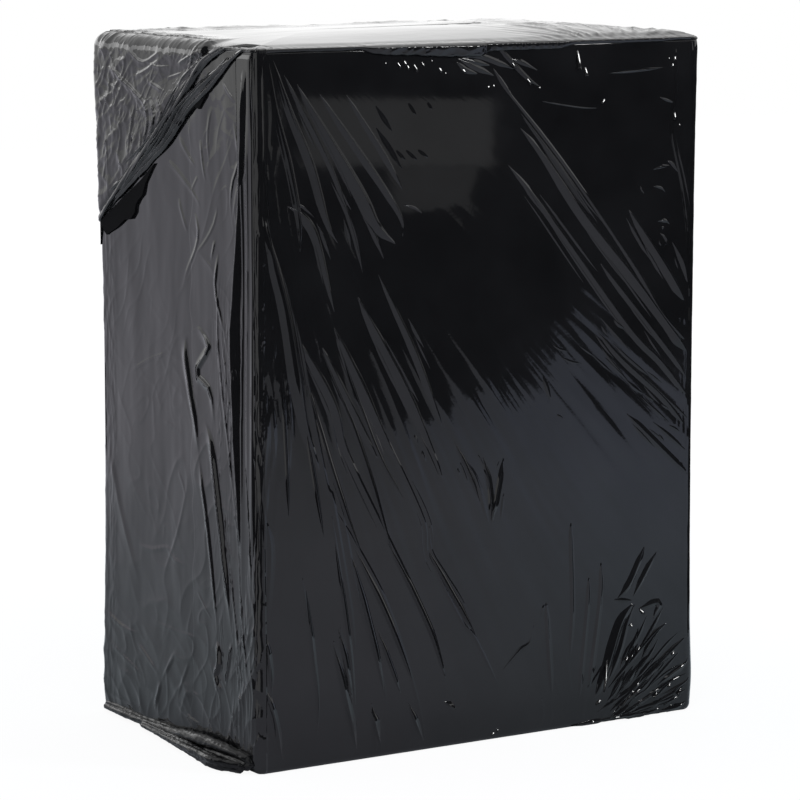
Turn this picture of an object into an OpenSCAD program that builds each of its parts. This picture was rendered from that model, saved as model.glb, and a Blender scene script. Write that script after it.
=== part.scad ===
// A tall load, overwrapped by hand with black stretch film until nothing inside shows.
// The film seals it, so the pack is one solid: a loft over the load, with columns that run along the pleats
// of the film, and the film's loose margins on top of it: the last turn, its rolled hem, its torn tail,
// the lip and gather over the front, and the bunched margin at the foot of the left face with its fold.
// Millimetres, +Z up. The front face looks along -Y, and the origin is the middle of the footprint.

/* [Load] */
// Width across the front face
load_w = 594; // [460:1:760]
// Depth of the side faces
load_d = 371; // [290:1:500]
// Height of the four upright edges
load_h = 797; // [600:1:1000]
// Radius of the film round the upright edges
edge_r = 7; // [5:0.5:14]
// Radius of the film over the top edges
brow_r = 5; // [3:0.5:10]
// Radius of the film under the bottom edges
foot_r = 7; // [4:0.5:14]
// How far the tension draws the sides in at half height
waist = 2.5; // [0:0.5:6]
// How far the film swells out just above the foot
foot_swell = 1.5; // [0:0.5:6]

/* [Crown] */
// Rise of the film over the top, at its left end
crown_low = 8; // [2:0.5:12]
// Rise of the film over the top, past the middle
crown_high = 11; // [6:0.5:24]
// Run of the shoulder from the top edge to the full rise
shoulder = 50; // [30:1:90]

/* [Pleats] */
// Height of the long pleats
pleat_h = 3; // [1.5:0.25:4]
// Width of the long pleats
pleat_w = 13; // [8:0.5:16]
// Number of pleats that fan out of the upper left corner of the front face
corner_pleats = 12; // [7:1:15]
// Number of pleats that fan out of the gather at the top edge
gather_pleats = 7; // [4:1:9]
// Number of upright pleats along the front edge of the left face
edge_pleats = 4; // [3:1:6]
// Number of pleats across the back
back_pleats = 8; // [5:1:10]
// Number of pleats across the right face
right_pleats = 6; // [4:1:8]
// Number of short pleats across the lower right corner of the front face
foot_pleats = 11; // [8:1:14]
// Radius of those short pleats
foot_pleat_r = 5; // [3:0.5:7]

/* [Corner turn] */
// Thickness of the last turn, which goes over the rear left corner
turn_t = 1.6; // [1:0.1:3]
// How far down the rear left edge the last turn reaches
turn_drop = 214; // [140:1:280]
// Where its hem leaves the left top edge, measured from the front edge
turn_start = 86; // [60:1:130]
// Where its hem leaves the rear top edge, measured from the right edge
turn_finish = 70; // [40:1:160]
// Radius of the hem, where the margin of the film has rolled into a rope
rope_r = 7; // [4:0.5:9]
// Depth of the torn margin that hangs below the rope
tail_drop = 30; // [16:1:44]
// Thickness of that torn margin, which lies in several folds
tail_t = 4; // [2:0.5:6]

/* [Margins] */
// Radius of the bunched margin along the foot of the left face, at its rear end
margin_r = 8; // [6:0.5:12]
// How much thicker that margin is at its front end
margin_swell = 6; // [0:0.5:9]
// How far the fold outside that margin lies out on the floor
fold_spread = 20; // [12:1:26]
// Radius of that fold
fold_r = 9; // [7:0.5:11]
// Depth of the margin that is turned down over the front top edge
lip_drop = 15; // [10:0.5:24]
// Where the turned-down margin begins, measured from the left edge
lip_start = 226; // [120:1:260]
// Where the twisted gather sits along the front top edge, measured from the left edge
gather_x = 317; // [280:1:350]
// Radius of the gather
gather_r = 4; // [3:0.5:6]

/* [Hidden] */

film_colour = [0.055, 0.057, 0.062];
arc_steps = 4;     // points round each upright edge
roll_steps = 3;    // rings round the foot and the brow
low_steps = 9;     // rings from the foot to the hem of the last turn
high_steps = 2;    // rings from that hem to the brow
crown_steps = 7;   // rings from the brow to the middle of the top
rope_sides = 8;    // sides of a rolled margin
uneven = 0.5;      // how far the film lies out of true between the pleats
crowding = 0.36;   // half width of a pleat as a share of its spacing, where pleats crowd together
step_run = 1.2;    // height over which the film steps out at the hem

function lerp(a, b, t) = a + (b - a) * t;
function clamp(t) = min(1, max(0, t));
function smooth(t) = let (c = clamp(t)) c * c * (3 - 2 * c);
function unit(v) = v / norm(v);

// A repeatable scatter between 0 and 1, so that no two pleats match
function scatter(i, salt) = let (s = sin(i * 127.1 + salt * 311.7) * 43758.5) s - floor(s);

// How far the film lies out of true at a place on a face
function lie(u, z) = uneven * (sin(1.9 * u + 0.7 * z + 20) + sin(1.1 * z - 2.3 * u));

// How far the skin lies inside the full footprint at a height
function draw_in(z) =
    let (t = z / load_h, swell = smooth(t / 0.05) * (1 - smooth((t - 0.05) / 0.12)))
        waist * sin(180 * t) - foot_swell * swell;

// Height of the crown over a point of the top: an elliptical shoulder, higher towards the right
function crown(x, y) =
    let (
        in_x = load_w / 2 - abs(x),
        in_y = load_d / 2 - abs(y),
        near = clamp(min(in_x, in_y) / shoulder),
        rise = lerp(crown_low, crown_high, smooth((x / load_w + 0.35) / 0.5))
    ) turn_t + rise * sqrt(1 - pow(1 - near, 2)) + lie(x, y) * near;

// A column is a line of points down a face. It holds the shares of the face's width at which it starts
// and ends, the share of the height at which it ends, its side of a pleat (0 is the crest), the spacing of
// the pleats at its two ends, and the height of the pleat.
function line_at(top, low, stop, t) = [for (range = [top, low, stop]) lerp(range[0], range[1], t)];
function fan(count, top, low, stop, high, salt) = [
    for (i = [0 : count - 1], side = [-1 : 1])
        let (t = (i + 0.5 + 0.2 * (scatter(i, salt) - 0.5)) / count)
            concat(
                line_at(top, low, stop, t),
                [side, (top[1] - top[0]) / count, (low[1] - low[0]) / count],
                [high * lerp(0.55, 1, scatter(i, salt + 1))]
            )
];

// Columns between the pleats, which keep the skin even
function plain(count, top, low, stop) = [
    for (i = [0 : count - 1]) concat(line_at(top, low, stop, (i + 0.5) / count), [0, 0, 0, 0])
];

// How far along its line a column is at a share of the height, from 1 at the top to 0 where it ends
function along(column, t) = clamp((t - column[2]) / (1 - column[2]));

// Share of the face's width at which a column lies
function share_at(column, t, width) =
    let (
        s = along(column, t),
        spacing = lerp(column[5], column[4], s),
        half = min(pleat_w / width / 2, crowding * spacing)
    ) lerp(column[1], column[0], s) + column[3] * half;

// How far a column stands out of the face: a crest swells below the top and dies away at its end
function stand(column, t) =
    let (s = along(column, t)) column[3] == 0 ? column[6] * smooth((1 - s) / 0.18) * smooth(s / 0.12) : 0;

// The columns of the four faces, each from left to right as the face is seen from outside
front = concat(
    fan(corner_pleats, [0.004, 0.09], [0.03, 0.72], [0, 0], pleat_h, 1),
    plain(5, [0.09, gather_x / load_w - 0.01], [0.74, 0.94], [0, 0]),
    fan(gather_pleats, [gather_x / load_w, gather_x / load_w + 0.07], [0.95, 0.98], [0.3, 0.56], pleat_h, 3),
    plain(3, [0.66, 0.97], [0.983, 0.998], [0.6, 0.9])
);
right = concat(
    fan(right_pleats, [0.02, 0.16], [0.08, 0.9], [0, 0], pleat_h * 0.8, 5),
    plain(4, [0.18, 0.98], [0.91, 0.99], [0, 0])
);
back = concat(
    fan(back_pleats, [0.02, 0.14], [0.06, 0.8], [0, 0], pleat_h * 0.8, 7),
    plain(6, [0.15, 0.98], [0.81, 0.98], [0, 0])
);
left = concat(
    plain(7, [0.02, 0.72], [0.02, 0.72], [0, 0]),
    fan(edge_pleats, [0.74, 0.98], [0.74, 0.98], [0.03, 0.1], 2, 9)
);
faces = [front, right, back, left];
ring_points = 4 * arc_steps + len(front) + len(right) + len(back) + len(left);

// Height of the lower edge of the last turn: it lies along the lip on the front face, close under the
// brow on the right, and comes down slanting to the rear left edge on the back and on the left face
hem_top = load_h - brow_r - 2;
function slant(gone, run) = min(hem_top, load_h - turn_drop * gone / run);
function back_hem(x) = slant(load_w - turn_finish - x, load_w - turn_finish);
function left_hem(y) = slant(y - turn_start, load_d - turn_start);
function hem(c, share) =
    c == 0 ? hem_top - (lip_drop - brow_r) * smooth((share * load_w - lip_start) / 16) :
    c == 1 ? hem_top - (lip_drop - brow_r) * smooth((0.1 - share) / 0.1) :
    c == 2 ? back_hem((1 - share) * load_w) :
    left_hem((1 - share) * load_d);

// Inset, height and share of the relief for a point of one ring. The rings go round the foot, up to the hem,
// out by one turn of film, up to the brow, round it, and over the crown.
function level(stage, s, hem_z) =
    stage == "foot" ? [foot_r * (1 - sin(90 * s)), foot_r * (1 - cos(90 * s)), 0.3] :
    stage == "low" ? let (z = lerp(foot_r, hem_z - step_run, s)) [draw_in(z), z, 1] :
    stage == "high" ? let (z = lerp(hem_z, load_h - brow_r, s)) [draw_in(z) - turn_t, z, 1.4] :
    stage == "brow" ? [brow_r * (1 - cos(90 * s)) - turn_t, load_h - brow_r * (1 - sin(90 * s)), 0.3] :
    [s - turn_t, load_h, 0];

rings = concat(
    [for (i = [0 : roll_steps]) ["foot", i / roll_steps]],
    [for (i = [1 : low_steps]) ["low", pow(i / low_steps, 1.15)]],
    [for (i = [0 : high_steps - 1]) ["high", i / high_steps]],
    [for (i = [0 : roll_steps - 1]) ["brow", i / roll_steps]],
    [for (i = [0 : crown_steps]) ["crown", lerp(brow_r, load_d / 2 - edge_r, pow(i / crown_steps, 1.7))]]
);

// One ring, anticlockwise from the front left edge: a rounded rectangle with the pleats standing out of it
function ring(stage, s) = [
    for (c = [0 : 3])
        let (
            turn = -180 + 90 * c,
            out = [cos(turn + 90), sin(turn + 90)],
            run = [-out[1], out[0]],
            width = c % 2 == 0 ? load_w : load_d,
            depth = c % 2 == 0 ? load_d : load_w
        )
            each concat(
                [for (i = [0.5 : arc_steps])
                    let (
                        place = level(stage, s, hem(c, 0)),
                        r = max(1, edge_r - max(0, place[0])),
                        centre = -run * (width / 2 - place[0] - r) + out * (depth / 2 - place[0] - r),
                        a = turn + 90 * i / arc_steps
                    ) [each (centre + r * [cos(a), sin(a)]), place[1]]],
                [for (column = faces[c])
                    let (
                        guess = level(stage, s, hem(c, share_at(column, 1, width))),
                        share = share_at(column, guess[1] / load_h, width),
                        place = level(stage, s, hem(c, share)),
                        r = max(1, edge_r - max(0, place[0])),
                        relief = place[2] * (stand(column, place[1] / load_h) + lie(share * width, place[1])),
                        u = (share - 0.5) * (width - 2 * place[0] - 2 * r)
                    ) [each (run * u + out * (depth / 2 - place[0] + relief)), place[1]]]
            )
];

// The skin as one closed loft through the rings
module skin() {
    points = concat(
        [for (r = rings, p = ring(r[0], r[1])) r[0] == "crown" ? p + [0, 0, crown(p[0], p[1])] : p],
        [[0, 0, load_h + crown(0, 0)]]
    );
    last = (len(rings) - 1) * ring_points;
    foot = [[for (i = [0 : ring_points - 1]) i]];
    wall = [
        for (low = [0 : ring_points : last - ring_points], i = [0 : ring_points - 1])
            let (j = (i + 1) % ring_points, high = low + ring_points)
                each [[low + i, high + i, high + j], [low + i, high + j, low + j]]
    ];
    cap = [for (i = [0 : ring_points - 1]) [last + i, last + ring_points, last + (i + 1) % ring_points]];
    polyhedron(points, concat(foot, wall, cap), convexity = 6);
}

// Places on the skin: the left face by distance from its front edge, and the back from its left edge
function on_left(y, z) = [-load_w / 2 + draw_in(z), -load_d / 2 + y, z];
function on_back(x, z) = [-load_w / 2 + x, load_d / 2 - draw_in(z), z];
function on_front(x, z) = [-load_w / 2 + x, -load_d / 2 + draw_in(z), z];

// A margin of the film rolled into a rope: a tube through the points of a line, each with its own radius
module rope(line, radii, salt) {
    last = len(line) - 1;
    middle = [0, 0, load_h / 2];
    points = [
        for (k = [0 : last])
            let (
                run = unit(line[min(k + 1, last)] - line[max(k - 1, 0)]),
                side = unit(cross(unit(line[k] - middle), run)),
                out = cross(run, side),
                r = radii[k] * lerp(0.72, 1, scatter(k, salt)) * (k == 0 || k == last ? 0.5 : 1)
            ) each [for (i = [0 : rope_sides - 1])
                let (a = 360 * (i + 0.3) / rope_sides + 25 * k)
                    line[k] + r * (cos(a) * side + 0.8 * sin(a) * out)]
    ];
    walls = [
        for (k = [0 : last - 1], i = [0 : rope_sides - 1])
            let (j = (i + 1) % rope_sides, low = k * rope_sides, high = low + rope_sides)
                each [[low + i, high + i, high + j], [low + i, high + j, low + j]]
    ];
    ends = [
        [for (i = [0 : rope_sides - 1]) i],
        [for (i = [rope_sides - 1 : -1 : 0]) last * rope_sides + i]
    ];
    polyhedron(points, concat(walls, ends), convexity = 4);
}

// The rolled hem: in from the front of the top, down the left face, round the rear edge and up the back
module turn_hem() {
    line = concat(
        [for (p = [[26, 8], [7, turn_start * 0.55]]) [p[0] - load_w / 2, p[1] - load_d / 2, load_h]],
        [for (s = [0.06, 0.24, 0.42, 0.6, 0.78, 0.93])
            let (y = lerp(turn_start, load_d, s)) on_left(y, left_hem(y))],
        [for (x = [8, 60, 130]) on_back(x, back_hem(x))]
    );
    rope(line, [for (p = line) rope_r], 11);
}

// The torn margin that hangs below the rope at the rear of the left face
module torn_tail() {
    steps = 9;
    shape = [
        for (i = [0 : steps])
            let (y = lerp(lerp(turn_start, load_d, 0.6), load_d - 5, i / steps)) [y, left_hem(y)]
    ];
    rag = [
        for (i = [steps : -1 : 0])
            let (fall = tail_drop * sin(lerp(14, 148, i / steps)) * lerp(0.7, 1, scatter(i, 14)))
                shape[i] - [5 * scatter(i, 13), fall]
    ];
    translate([-load_w / 2 + waist + uneven, -load_d / 2, 0])
        rotate([90, 0, -90])
            linear_extrude(waist + uneven + tail_t)
                polygon([for (p = concat(shape, rag)) [-p[0], p[1]]]);
}

// The twisted gather that the lip runs into: along the lip, then down into its pleats
module gather() {
    route = [[-36, 6], [-10, 13], [10, 28], [26, 50], [42, 80]];
    rope([for (p = route) on_front(gather_x + p[0], load_h - p[1])], [for (p = route) gather_r], 15);
}

// The bunched margin along the foot of the left face, thickest near its front end
module foot_margin() {
    steps = 8;
    function bunching(s) = smooth((s - 0.3) / 0.5) * (1 - 0.5 * smooth((s - 0.85) / 0.15));
    function size(s) = margin_r + margin_swell * bunching(s);
    rope(
        [for (i = [0 : steps])
            let (s = i / steps) [
                -load_w / 2 + 6 - 0.8 * size(s) + 3 * scatter(i, 16),
                lerp(load_d / 2 - 6, -load_d / 2 + 8, s),
                size(s) + 2 * scatter(i, 17)
            ]],
        [for (i = [0 : steps]) size(i / steps)],
        18
    );
}

// The loose fold that lies on the floor outside the front two thirds of that margin
module foot_fold() {
    steps = 6;
    function spread(s) = fold_spread * pow(min(1, s / 0.85), 1.3) * (1 - 0.7 * smooth((s - 0.88) / 0.12));
    function size(s) = fold_r * lerp(0.55, 1, smooth(s / 0.6));
    rope(
        [for (i = [0 : steps])
            let (s = lerp(0.3, 0.985, i / steps)) [
                -load_w / 2 - 4 - spread(s),
                lerp(load_d / 2 - 6, -load_d / 2 + 8, s),
                size(s) * 0.9 + scatter(i, 23)
            ]],
        [for (i = [0 : steps]) size(lerp(0.3, 0.985, i / steps))],
        24
    );
}

// Short pleats across the lower right corner, where the film was drawn under the load
module foot_fan() {
    for (i = [0 : foot_pleats - 1]) {
        t = (i + 0.5) / foot_pleats;
        low = load_w - lerp(150, 26, t);
        slant = lerp(36, 46, t) + 5 * scatter(i, 19);
        length = lerp(0.6, 1, scatter(i, 20)) * lerp(140, 40, t);
        rise = 26 + 14 * scatter(i, 21);
        hull()
            for (s = [0, 0.4, 1])
                let (
                    along = s * length,
                    place = on_front(min(low + along * sin(slant), load_w - 6), rise + along * cos(slant)),
                    sunk = s == 0.4 ? 0.6 * foot_pleat_r - 1 : foot_pleat_r - 1
                )
                    translate(place + [0, sunk, 0])
                        sphere(foot_pleat_r, $fn = 12);
    }
}

// The whole pack
module wrapped_pack() {
    color(film_colour)
        union() {
            skin();
            turn_hem();
            torn_tail();
            gather();
            foot_margin();
            foot_fold();
            foot_fan();
        }
}

wrapped_pack();
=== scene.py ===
"""A tall load, sealed by hand in black stretch film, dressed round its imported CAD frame.

Lengths are metres in the row frame: +Z up, the front face looks along -Y and the face with the slanting
rolled hem along -X. Relief, pleats and radii of the film are written in millimetres.
"""

import logging
import math
from dataclasses import dataclass
from enum import Enum
from functools import partial
from typing import Callable, Optional, Sequence

import bpy
import numpy as np
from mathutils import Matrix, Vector


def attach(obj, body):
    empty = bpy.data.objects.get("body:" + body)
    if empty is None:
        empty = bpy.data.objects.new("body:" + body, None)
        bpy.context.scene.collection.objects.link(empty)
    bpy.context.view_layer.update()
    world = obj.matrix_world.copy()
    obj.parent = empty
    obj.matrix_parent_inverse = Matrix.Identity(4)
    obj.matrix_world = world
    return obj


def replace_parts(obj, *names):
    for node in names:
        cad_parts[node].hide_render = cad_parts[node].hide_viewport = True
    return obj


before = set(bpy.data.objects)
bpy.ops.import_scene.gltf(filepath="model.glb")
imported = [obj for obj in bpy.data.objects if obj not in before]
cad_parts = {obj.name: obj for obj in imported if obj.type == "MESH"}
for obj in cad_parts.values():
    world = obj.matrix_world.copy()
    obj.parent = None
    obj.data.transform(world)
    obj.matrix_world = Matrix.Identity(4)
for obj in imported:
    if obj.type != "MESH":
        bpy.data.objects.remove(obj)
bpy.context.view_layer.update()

Array = np.ndarray
Point = tuple[float, float, float]
Spot = tuple[float, float]
Relief = Callable[[Array, Array], Array]

MM = 0.001
BODY = "root"
LOG = logging.getLogger("film_wrapped_load")

# The photograph's viewpoint and the point it looks at, its height and distance from the front face in round
# numbers, and the distance of the dark screen that the front face shows.
VIEWPOINT = (-2.1714, -3.4693, 0.9836)
AIM = (0.002, -0.001, 0.372)
EYE_HEIGHT = 0.98
EYE_DISTANCE = 4.1
SCREEN_RADIUS = 2.65

# Distance between the points of a pleat's crest, and the length over which its ends taper, in millimetres.
PLEAT_STEP = 4.2
PLEAT_TIP = 22.0


class Face(Enum):
    """The four upright faces, in the order in which the film runs round them."""

    FRONT = 0
    RIGHT = 1
    BACK = 2
    LEFT = 3


def clamp(value: Array) -> Array:
    """Returns the value held between 0 and 1."""
    return np.clip(value, 0.0, 1.0)


def smooth(value: Array) -> Array:
    """Returns an even ease from 0 to 1 over the range 0 to 1."""
    held = clamp(np.asarray(value, float))
    return held * held * (3 - 2 * held)


def hump(value: Array) -> Array:
    """Returns a rounded bump, 1 at zero and 0 beyond one."""
    return np.clip(1 - np.asarray(value, float) ** 2, 0, None) ** 2


def lerp(start: float, end: float, share: Array) -> Array:
    """Returns the value at a share of the way from start to end."""
    return start + (end - start) * share


def cells(*axes: "Array | float") -> Array:
    """Returns places in the noise as rows of three numbers, one noise cell to the unit."""
    return np.column_stack(np.broadcast_arrays(*axes))


def even_curve(knots: Array, step: float) -> Array:
    """Runs a smooth curve through some points.

    Args:
        knots: The points, as rows.
        step: Distance between the points of the curve.

    Returns:
        Evenly spaced points of the curve.
    """
    if len(knots) == 2:
        dense = knots
    else:
        ends = np.vstack([2 * knots[0] - knots[1], knots, 2 * knots[-1] - knots[-2]])
        t = np.linspace(0, 1, 16, endpoint=False)[:, None]
        parts = []
        for i in range(1, len(ends) - 2):
            a, b, c, d = ends[i - 1 : i + 3]
            bend = (2 * a - 5 * b + 4 * c - d) * t**2 + (3 * b - a - 3 * c + d) * t**3
            parts.append(0.5 * (2 * b + (c - a) * t + bend))
        dense = np.vstack([*parts, knots[-1:]])
    gone = np.concatenate([[0], np.cumsum(np.linalg.norm(np.diff(dense, axis=0), axis=1))])
    even = np.linspace(0, gone[-1], max(5, int(gone[-1] / step) + 1))
    return np.column_stack([np.interp(even, gone, dense[:, k]) for k in range(knots.shape[1])])


def on_curve(curve: Array, share: Array) -> Array:
    """Returns the points at these shares of the way along an even curve."""
    at = np.linspace(0, 1, len(curve))
    return np.column_stack([np.interp(share, at, curve[:, k]) for k in range(curve.shape[1])])


class Grain:
    """Repeatable gradient noise in three dimensions, for the unevenness of the film."""

    def __init__(self, seed: int) -> None:
        """Draws the noise's table.

        Args:
            seed: Any whole number; the same one gives the same film.
        """
        rng = np.random.default_rng(seed)
        self.table = rng.permutation(256)
        slopes = rng.normal(size=(256, 3))
        self.slopes = slopes / np.linalg.norm(slopes, axis=1)[:, None]

    def at(self, points: Array) -> Array:
        """Samples the noise.

        Args:
            points: Places as rows of three numbers, one noise cell to the unit.

        Returns:
            A value from about -1 to 1 for each place.
        """
        cell = np.floor(points).astype(int)
        part = points - cell
        ease = part**3 * (part * (part * 6 - 15) + 10)
        total = np.zeros(len(points))
        for corner in np.ndindex(2, 2, 2):
            step = np.array(corner)
            spot = cell + step
            index = self.table[spot[:, 0] & 255]
            index = self.table[(index + spot[:, 1]) & 255]
            index = self.table[(index + spot[:, 2]) & 255]
            dot = np.einsum("ij,ij->i", self.slopes[index], part - step)
            total += dot * np.prod(np.where(step, ease, 1 - ease), axis=1)
        return total * 1.6

    def billow(self, points: Array) -> Array:
        """Returns two layers of the noise, the second half as high and twice as fine."""
        return self.at(points) + 0.5 * self.at(points * 2 + 17.3)

    def ridges(self, points: Array, octaves: int = 2, gain: float = 0.5) -> Array:
        """Sums layers of sharp-crested noise, like creases in crumpled film.

        Args:
            points: Places as rows of three numbers.
            octaves: Number of layers.
            gain: Share of its height that each layer passes on to the next.

        Returns:
            A value from 0, between the creases, to about 1 on a crest.
        """
        total = np.zeros(len(points))
        for layer in range(octaves):
            crest = 1 - np.abs(self.at(points * 2**layer + 31.7 * layer))
            total += gain**layer * crest**3
        return total / sum(gain**layer for layer in range(octaves))

    def creases(self, points: Array, octaves: int = 2) -> Array:
        """Sums layers of thin separate creases.

        Args:
            points: Places as rows of three numbers.
            octaves: Number of layers.

        Returns:
            A value from 0 over most of the film to 1 on a crease.
        """
        total = np.zeros(len(points))
        for layer in range(octaves):
            where = points * 1.9**layer + 11.9 * layer
            crest = 1 - np.abs(self.at(where))
            patch = smooth(0.15 + 1.7 * self.at(where * 0.31 + 3.7))
            total += 0.6**layer * crest**9 * patch
        return total


@dataclass(frozen=True)
class Load:
    """The load under the film and the course of the last turn, as in the CAD source."""

    width: float = 0.594
    depth: float = 0.371
    height: float = 0.797
    edge_r: float = 0.011
    brow_r: float = 0.003
    foot_r: float = 0.007
    waist: float = 0.0025
    foot_swell: float = 0.0015
    crown_low: float = 0.008
    crown_high: float = 0.011
    shoulder: float = 0.160
    turn_t: float = 0.0016
    turn_drop: float = 0.214
    turn_start: float = 0.086
    turn_finish: float = 0.070

    @property
    def girth(self) -> float:
        """Length round the four faces."""
        return 2 * (self.width + self.depth)

    @property
    def hem_top(self) -> float:
        """Height of the hem where it lies close under the brow."""
        return self.height - self.brow_r - 0.002

    def starts(self) -> Array:
        """Returns how far round each face starts, and the full girth."""
        return np.cumsum([0, self.width, self.depth, self.width, self.depth])

    def draw_in(self, z: Array) -> Array:
        """Returns how far the film lies inside the full footprint at a height."""
        t = z / self.height
        swell = smooth(t / 0.05) * (1 - smooth((t - 0.05) / 0.12))
        return self.waist * np.sin(np.pi * clamp(t)) - self.foot_swell * swell

    def hem(self, s: Array) -> Array:
        """Finds the lower edge of the last turn.

        Args:
            s: Places round the load, from its near upright edge and along the front face first.

        Returns:
            The height of the hem at each place.
        """
        s = np.mod(s, self.girth)
        starts = self.starts()
        close = 0 * s + self.hem_top
        run = self.width - self.turn_finish
        back = self.height - self.turn_drop * (s - starts[2] - self.turn_finish) / run
        run = self.depth - self.turn_start
        left = self.height - self.turn_drop * (starts[4] - s - self.turn_start) / run
        face = np.searchsorted(starts, s, side="right") - 1
        found = np.choose(np.clip(face, 0, 3), [close, close, back, left])
        return np.minimum(found, self.hem_top)

    def span(self, face: Face) -> Spot:
        """Returns the width of a face and its distance from the middle of the load."""
        return (self.width, self.depth / 2) if face.value % 2 == 0 else (self.depth, self.width / 2)

    def place(self, s: Array, z: Array, inset: Array, tilt: Array = 0.0, lift: Array = 0.0) -> Array:
        """Places points of the film.

        Args:
            s: How far round the load each point is, from the near upright edge.
            z: Height of each point.
            inset: How far inside the full footprint it is.
            tilt: Angle of the film's outward direction above level, in radians.
            lift: How far it stands off the form, in metres.

        Returns:
            The points, as rows of three numbers.
        """
        given = np.broadcast_arrays(s, z, inset, tilt, lift)
        s, z, inset, tilt, lift = (np.asarray(values, float).ravel() for values in given)
        s = np.mod(s, self.girth)
        starts = self.starts()
        face = np.clip(np.searchsorted(starts, s, side="right") - 1, 0, 3)
        length = np.where(face % 2 == 0, self.width, self.depth)
        reach = np.where(face % 2 == 0, self.depth, self.width) / 2
        u = s - starts[face]
        radius = np.maximum(0.001, self.edge_r - np.maximum(0, inset))
        turn = np.zeros_like(u)
        near, far = u < self.edge_r, u > length - self.edge_r
        turn[near] = -(1 - u[near] / self.edge_r) * np.pi / 4
        turn[far] = (1 - (length[far] - u[far]) / self.edge_r) * np.pi / 4
        share = clamp((u - self.edge_r) / (length - 2 * self.edge_r))
        run = lerp(-1, 1, share) * (length / 2 - inset - radius) + radius * np.sin(turn)
        out = reach - inset - radius * (1 - np.cos(turn))
        angle = -np.pi / 2 + face * np.pi / 2
        out_dir = np.stack([np.cos(angle), np.sin(angle)], 1)
        run_dir = np.stack([-np.sin(angle), np.cos(angle)], 1)
        level = run_dir * run[:, None] + out_dir * out[:, None]
        facing = out_dir * np.cos(turn)[:, None] + run_dir * np.sin(turn)[:, None]
        push = lift * np.cos(tilt)
        flat = level + facing * push[:, None]
        return np.column_stack([flat, z + lift * np.sin(tilt)])

    def on_face(self, face: Face, u: float, z: float, lift: float = 0.0) -> Point:
        """Places one point on a face.

        Args:
            face: The face.
            u: Distance in millimetres from the near upright edge, or on the back from its right edge.
            z: Height, in millimetres like u.
            lift: How far it stands off the face, in millimetres.

        Returns:
            The point in metres.
        """
        start = self.starts()[face.value]
        s = self.girth - u * MM if face is Face.LEFT else start + u * MM
        height = np.array([z * MM])
        return tuple(self.place(np.array([s]), height, self.draw_in(height), 0.0, lift * MM)[0])


LOAD = Load()


@dataclass(frozen=True)
class Crease:
    """A pleat, fold or groove of the film, drawn as a line on a face. All sizes are millimetres.

    The crest falls away to nothing at both sides, as film under tension does. A lean above 0 makes the
    flank on the right of the line, as it is drawn, the steeper one.
    """

    line: tuple[Spot, ...]
    width: float
    end_width: float
    height: float
    lean: float = 0.0
    head: float = 0.1
    tail: float = 0.45

    def course(self) -> Array:
        """Returns the line as a smooth curve of many points."""
        return even_curve(np.array(self.line, float), 12.0)

    def add_to(self, lift: Array, u: Array, v: Array) -> None:
        """Adds the crease to a field of heights.

        Args:
            lift: The heights, in millimetres, changed in place.
            u: Place of each height across the face.
            v: Place of each height up the face.
        """
        course = self.course()
        reach = 2 * max(self.width, self.end_width)
        low, high = course.min(0) - reach, course.max(0) + reach
        near = np.flatnonzero((u > low[0]) & (u < high[0]) & (v > low[1]) & (v < high[1]))
        if not len(near):
            return
        place = np.column_stack([u[near], v[near]])
        steps = np.diff(course, axis=0)
        lengths = np.maximum(np.linalg.norm(steps, axis=1), 1e-6)
        gone = np.concatenate([[0], np.cumsum(lengths)])
        best = np.full(len(near), np.inf)
        side = np.zeros(len(near))
        share = np.zeros(len(near))
        for k, step in enumerate(steps):
            rel = place - course[k]
            t = clamp(rel @ step / lengths[k] ** 2)
            gap = rel - t[:, None] * step
            far = np.hypot(gap[:, 0], gap[:, 1])
            closer = far < best
            best[closer] = far[closer]
            side[closer] = np.sign(step[0] * rel[closer, 1] - step[1] * rel[closer, 0])
            share[closer] = (gone[k] + t[closer] * lengths[k]) / gone[-1]
        half = lerp(self.width, self.end_width, share) * (1 + self.lean * side)
        across = np.clip(1 - best / half, 0, None)
        ends = smooth(share / self.head) * smooth((1 - share) / self.tail)
        np.add.at(lift, near, self.height * across**1.7 * ends)


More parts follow.
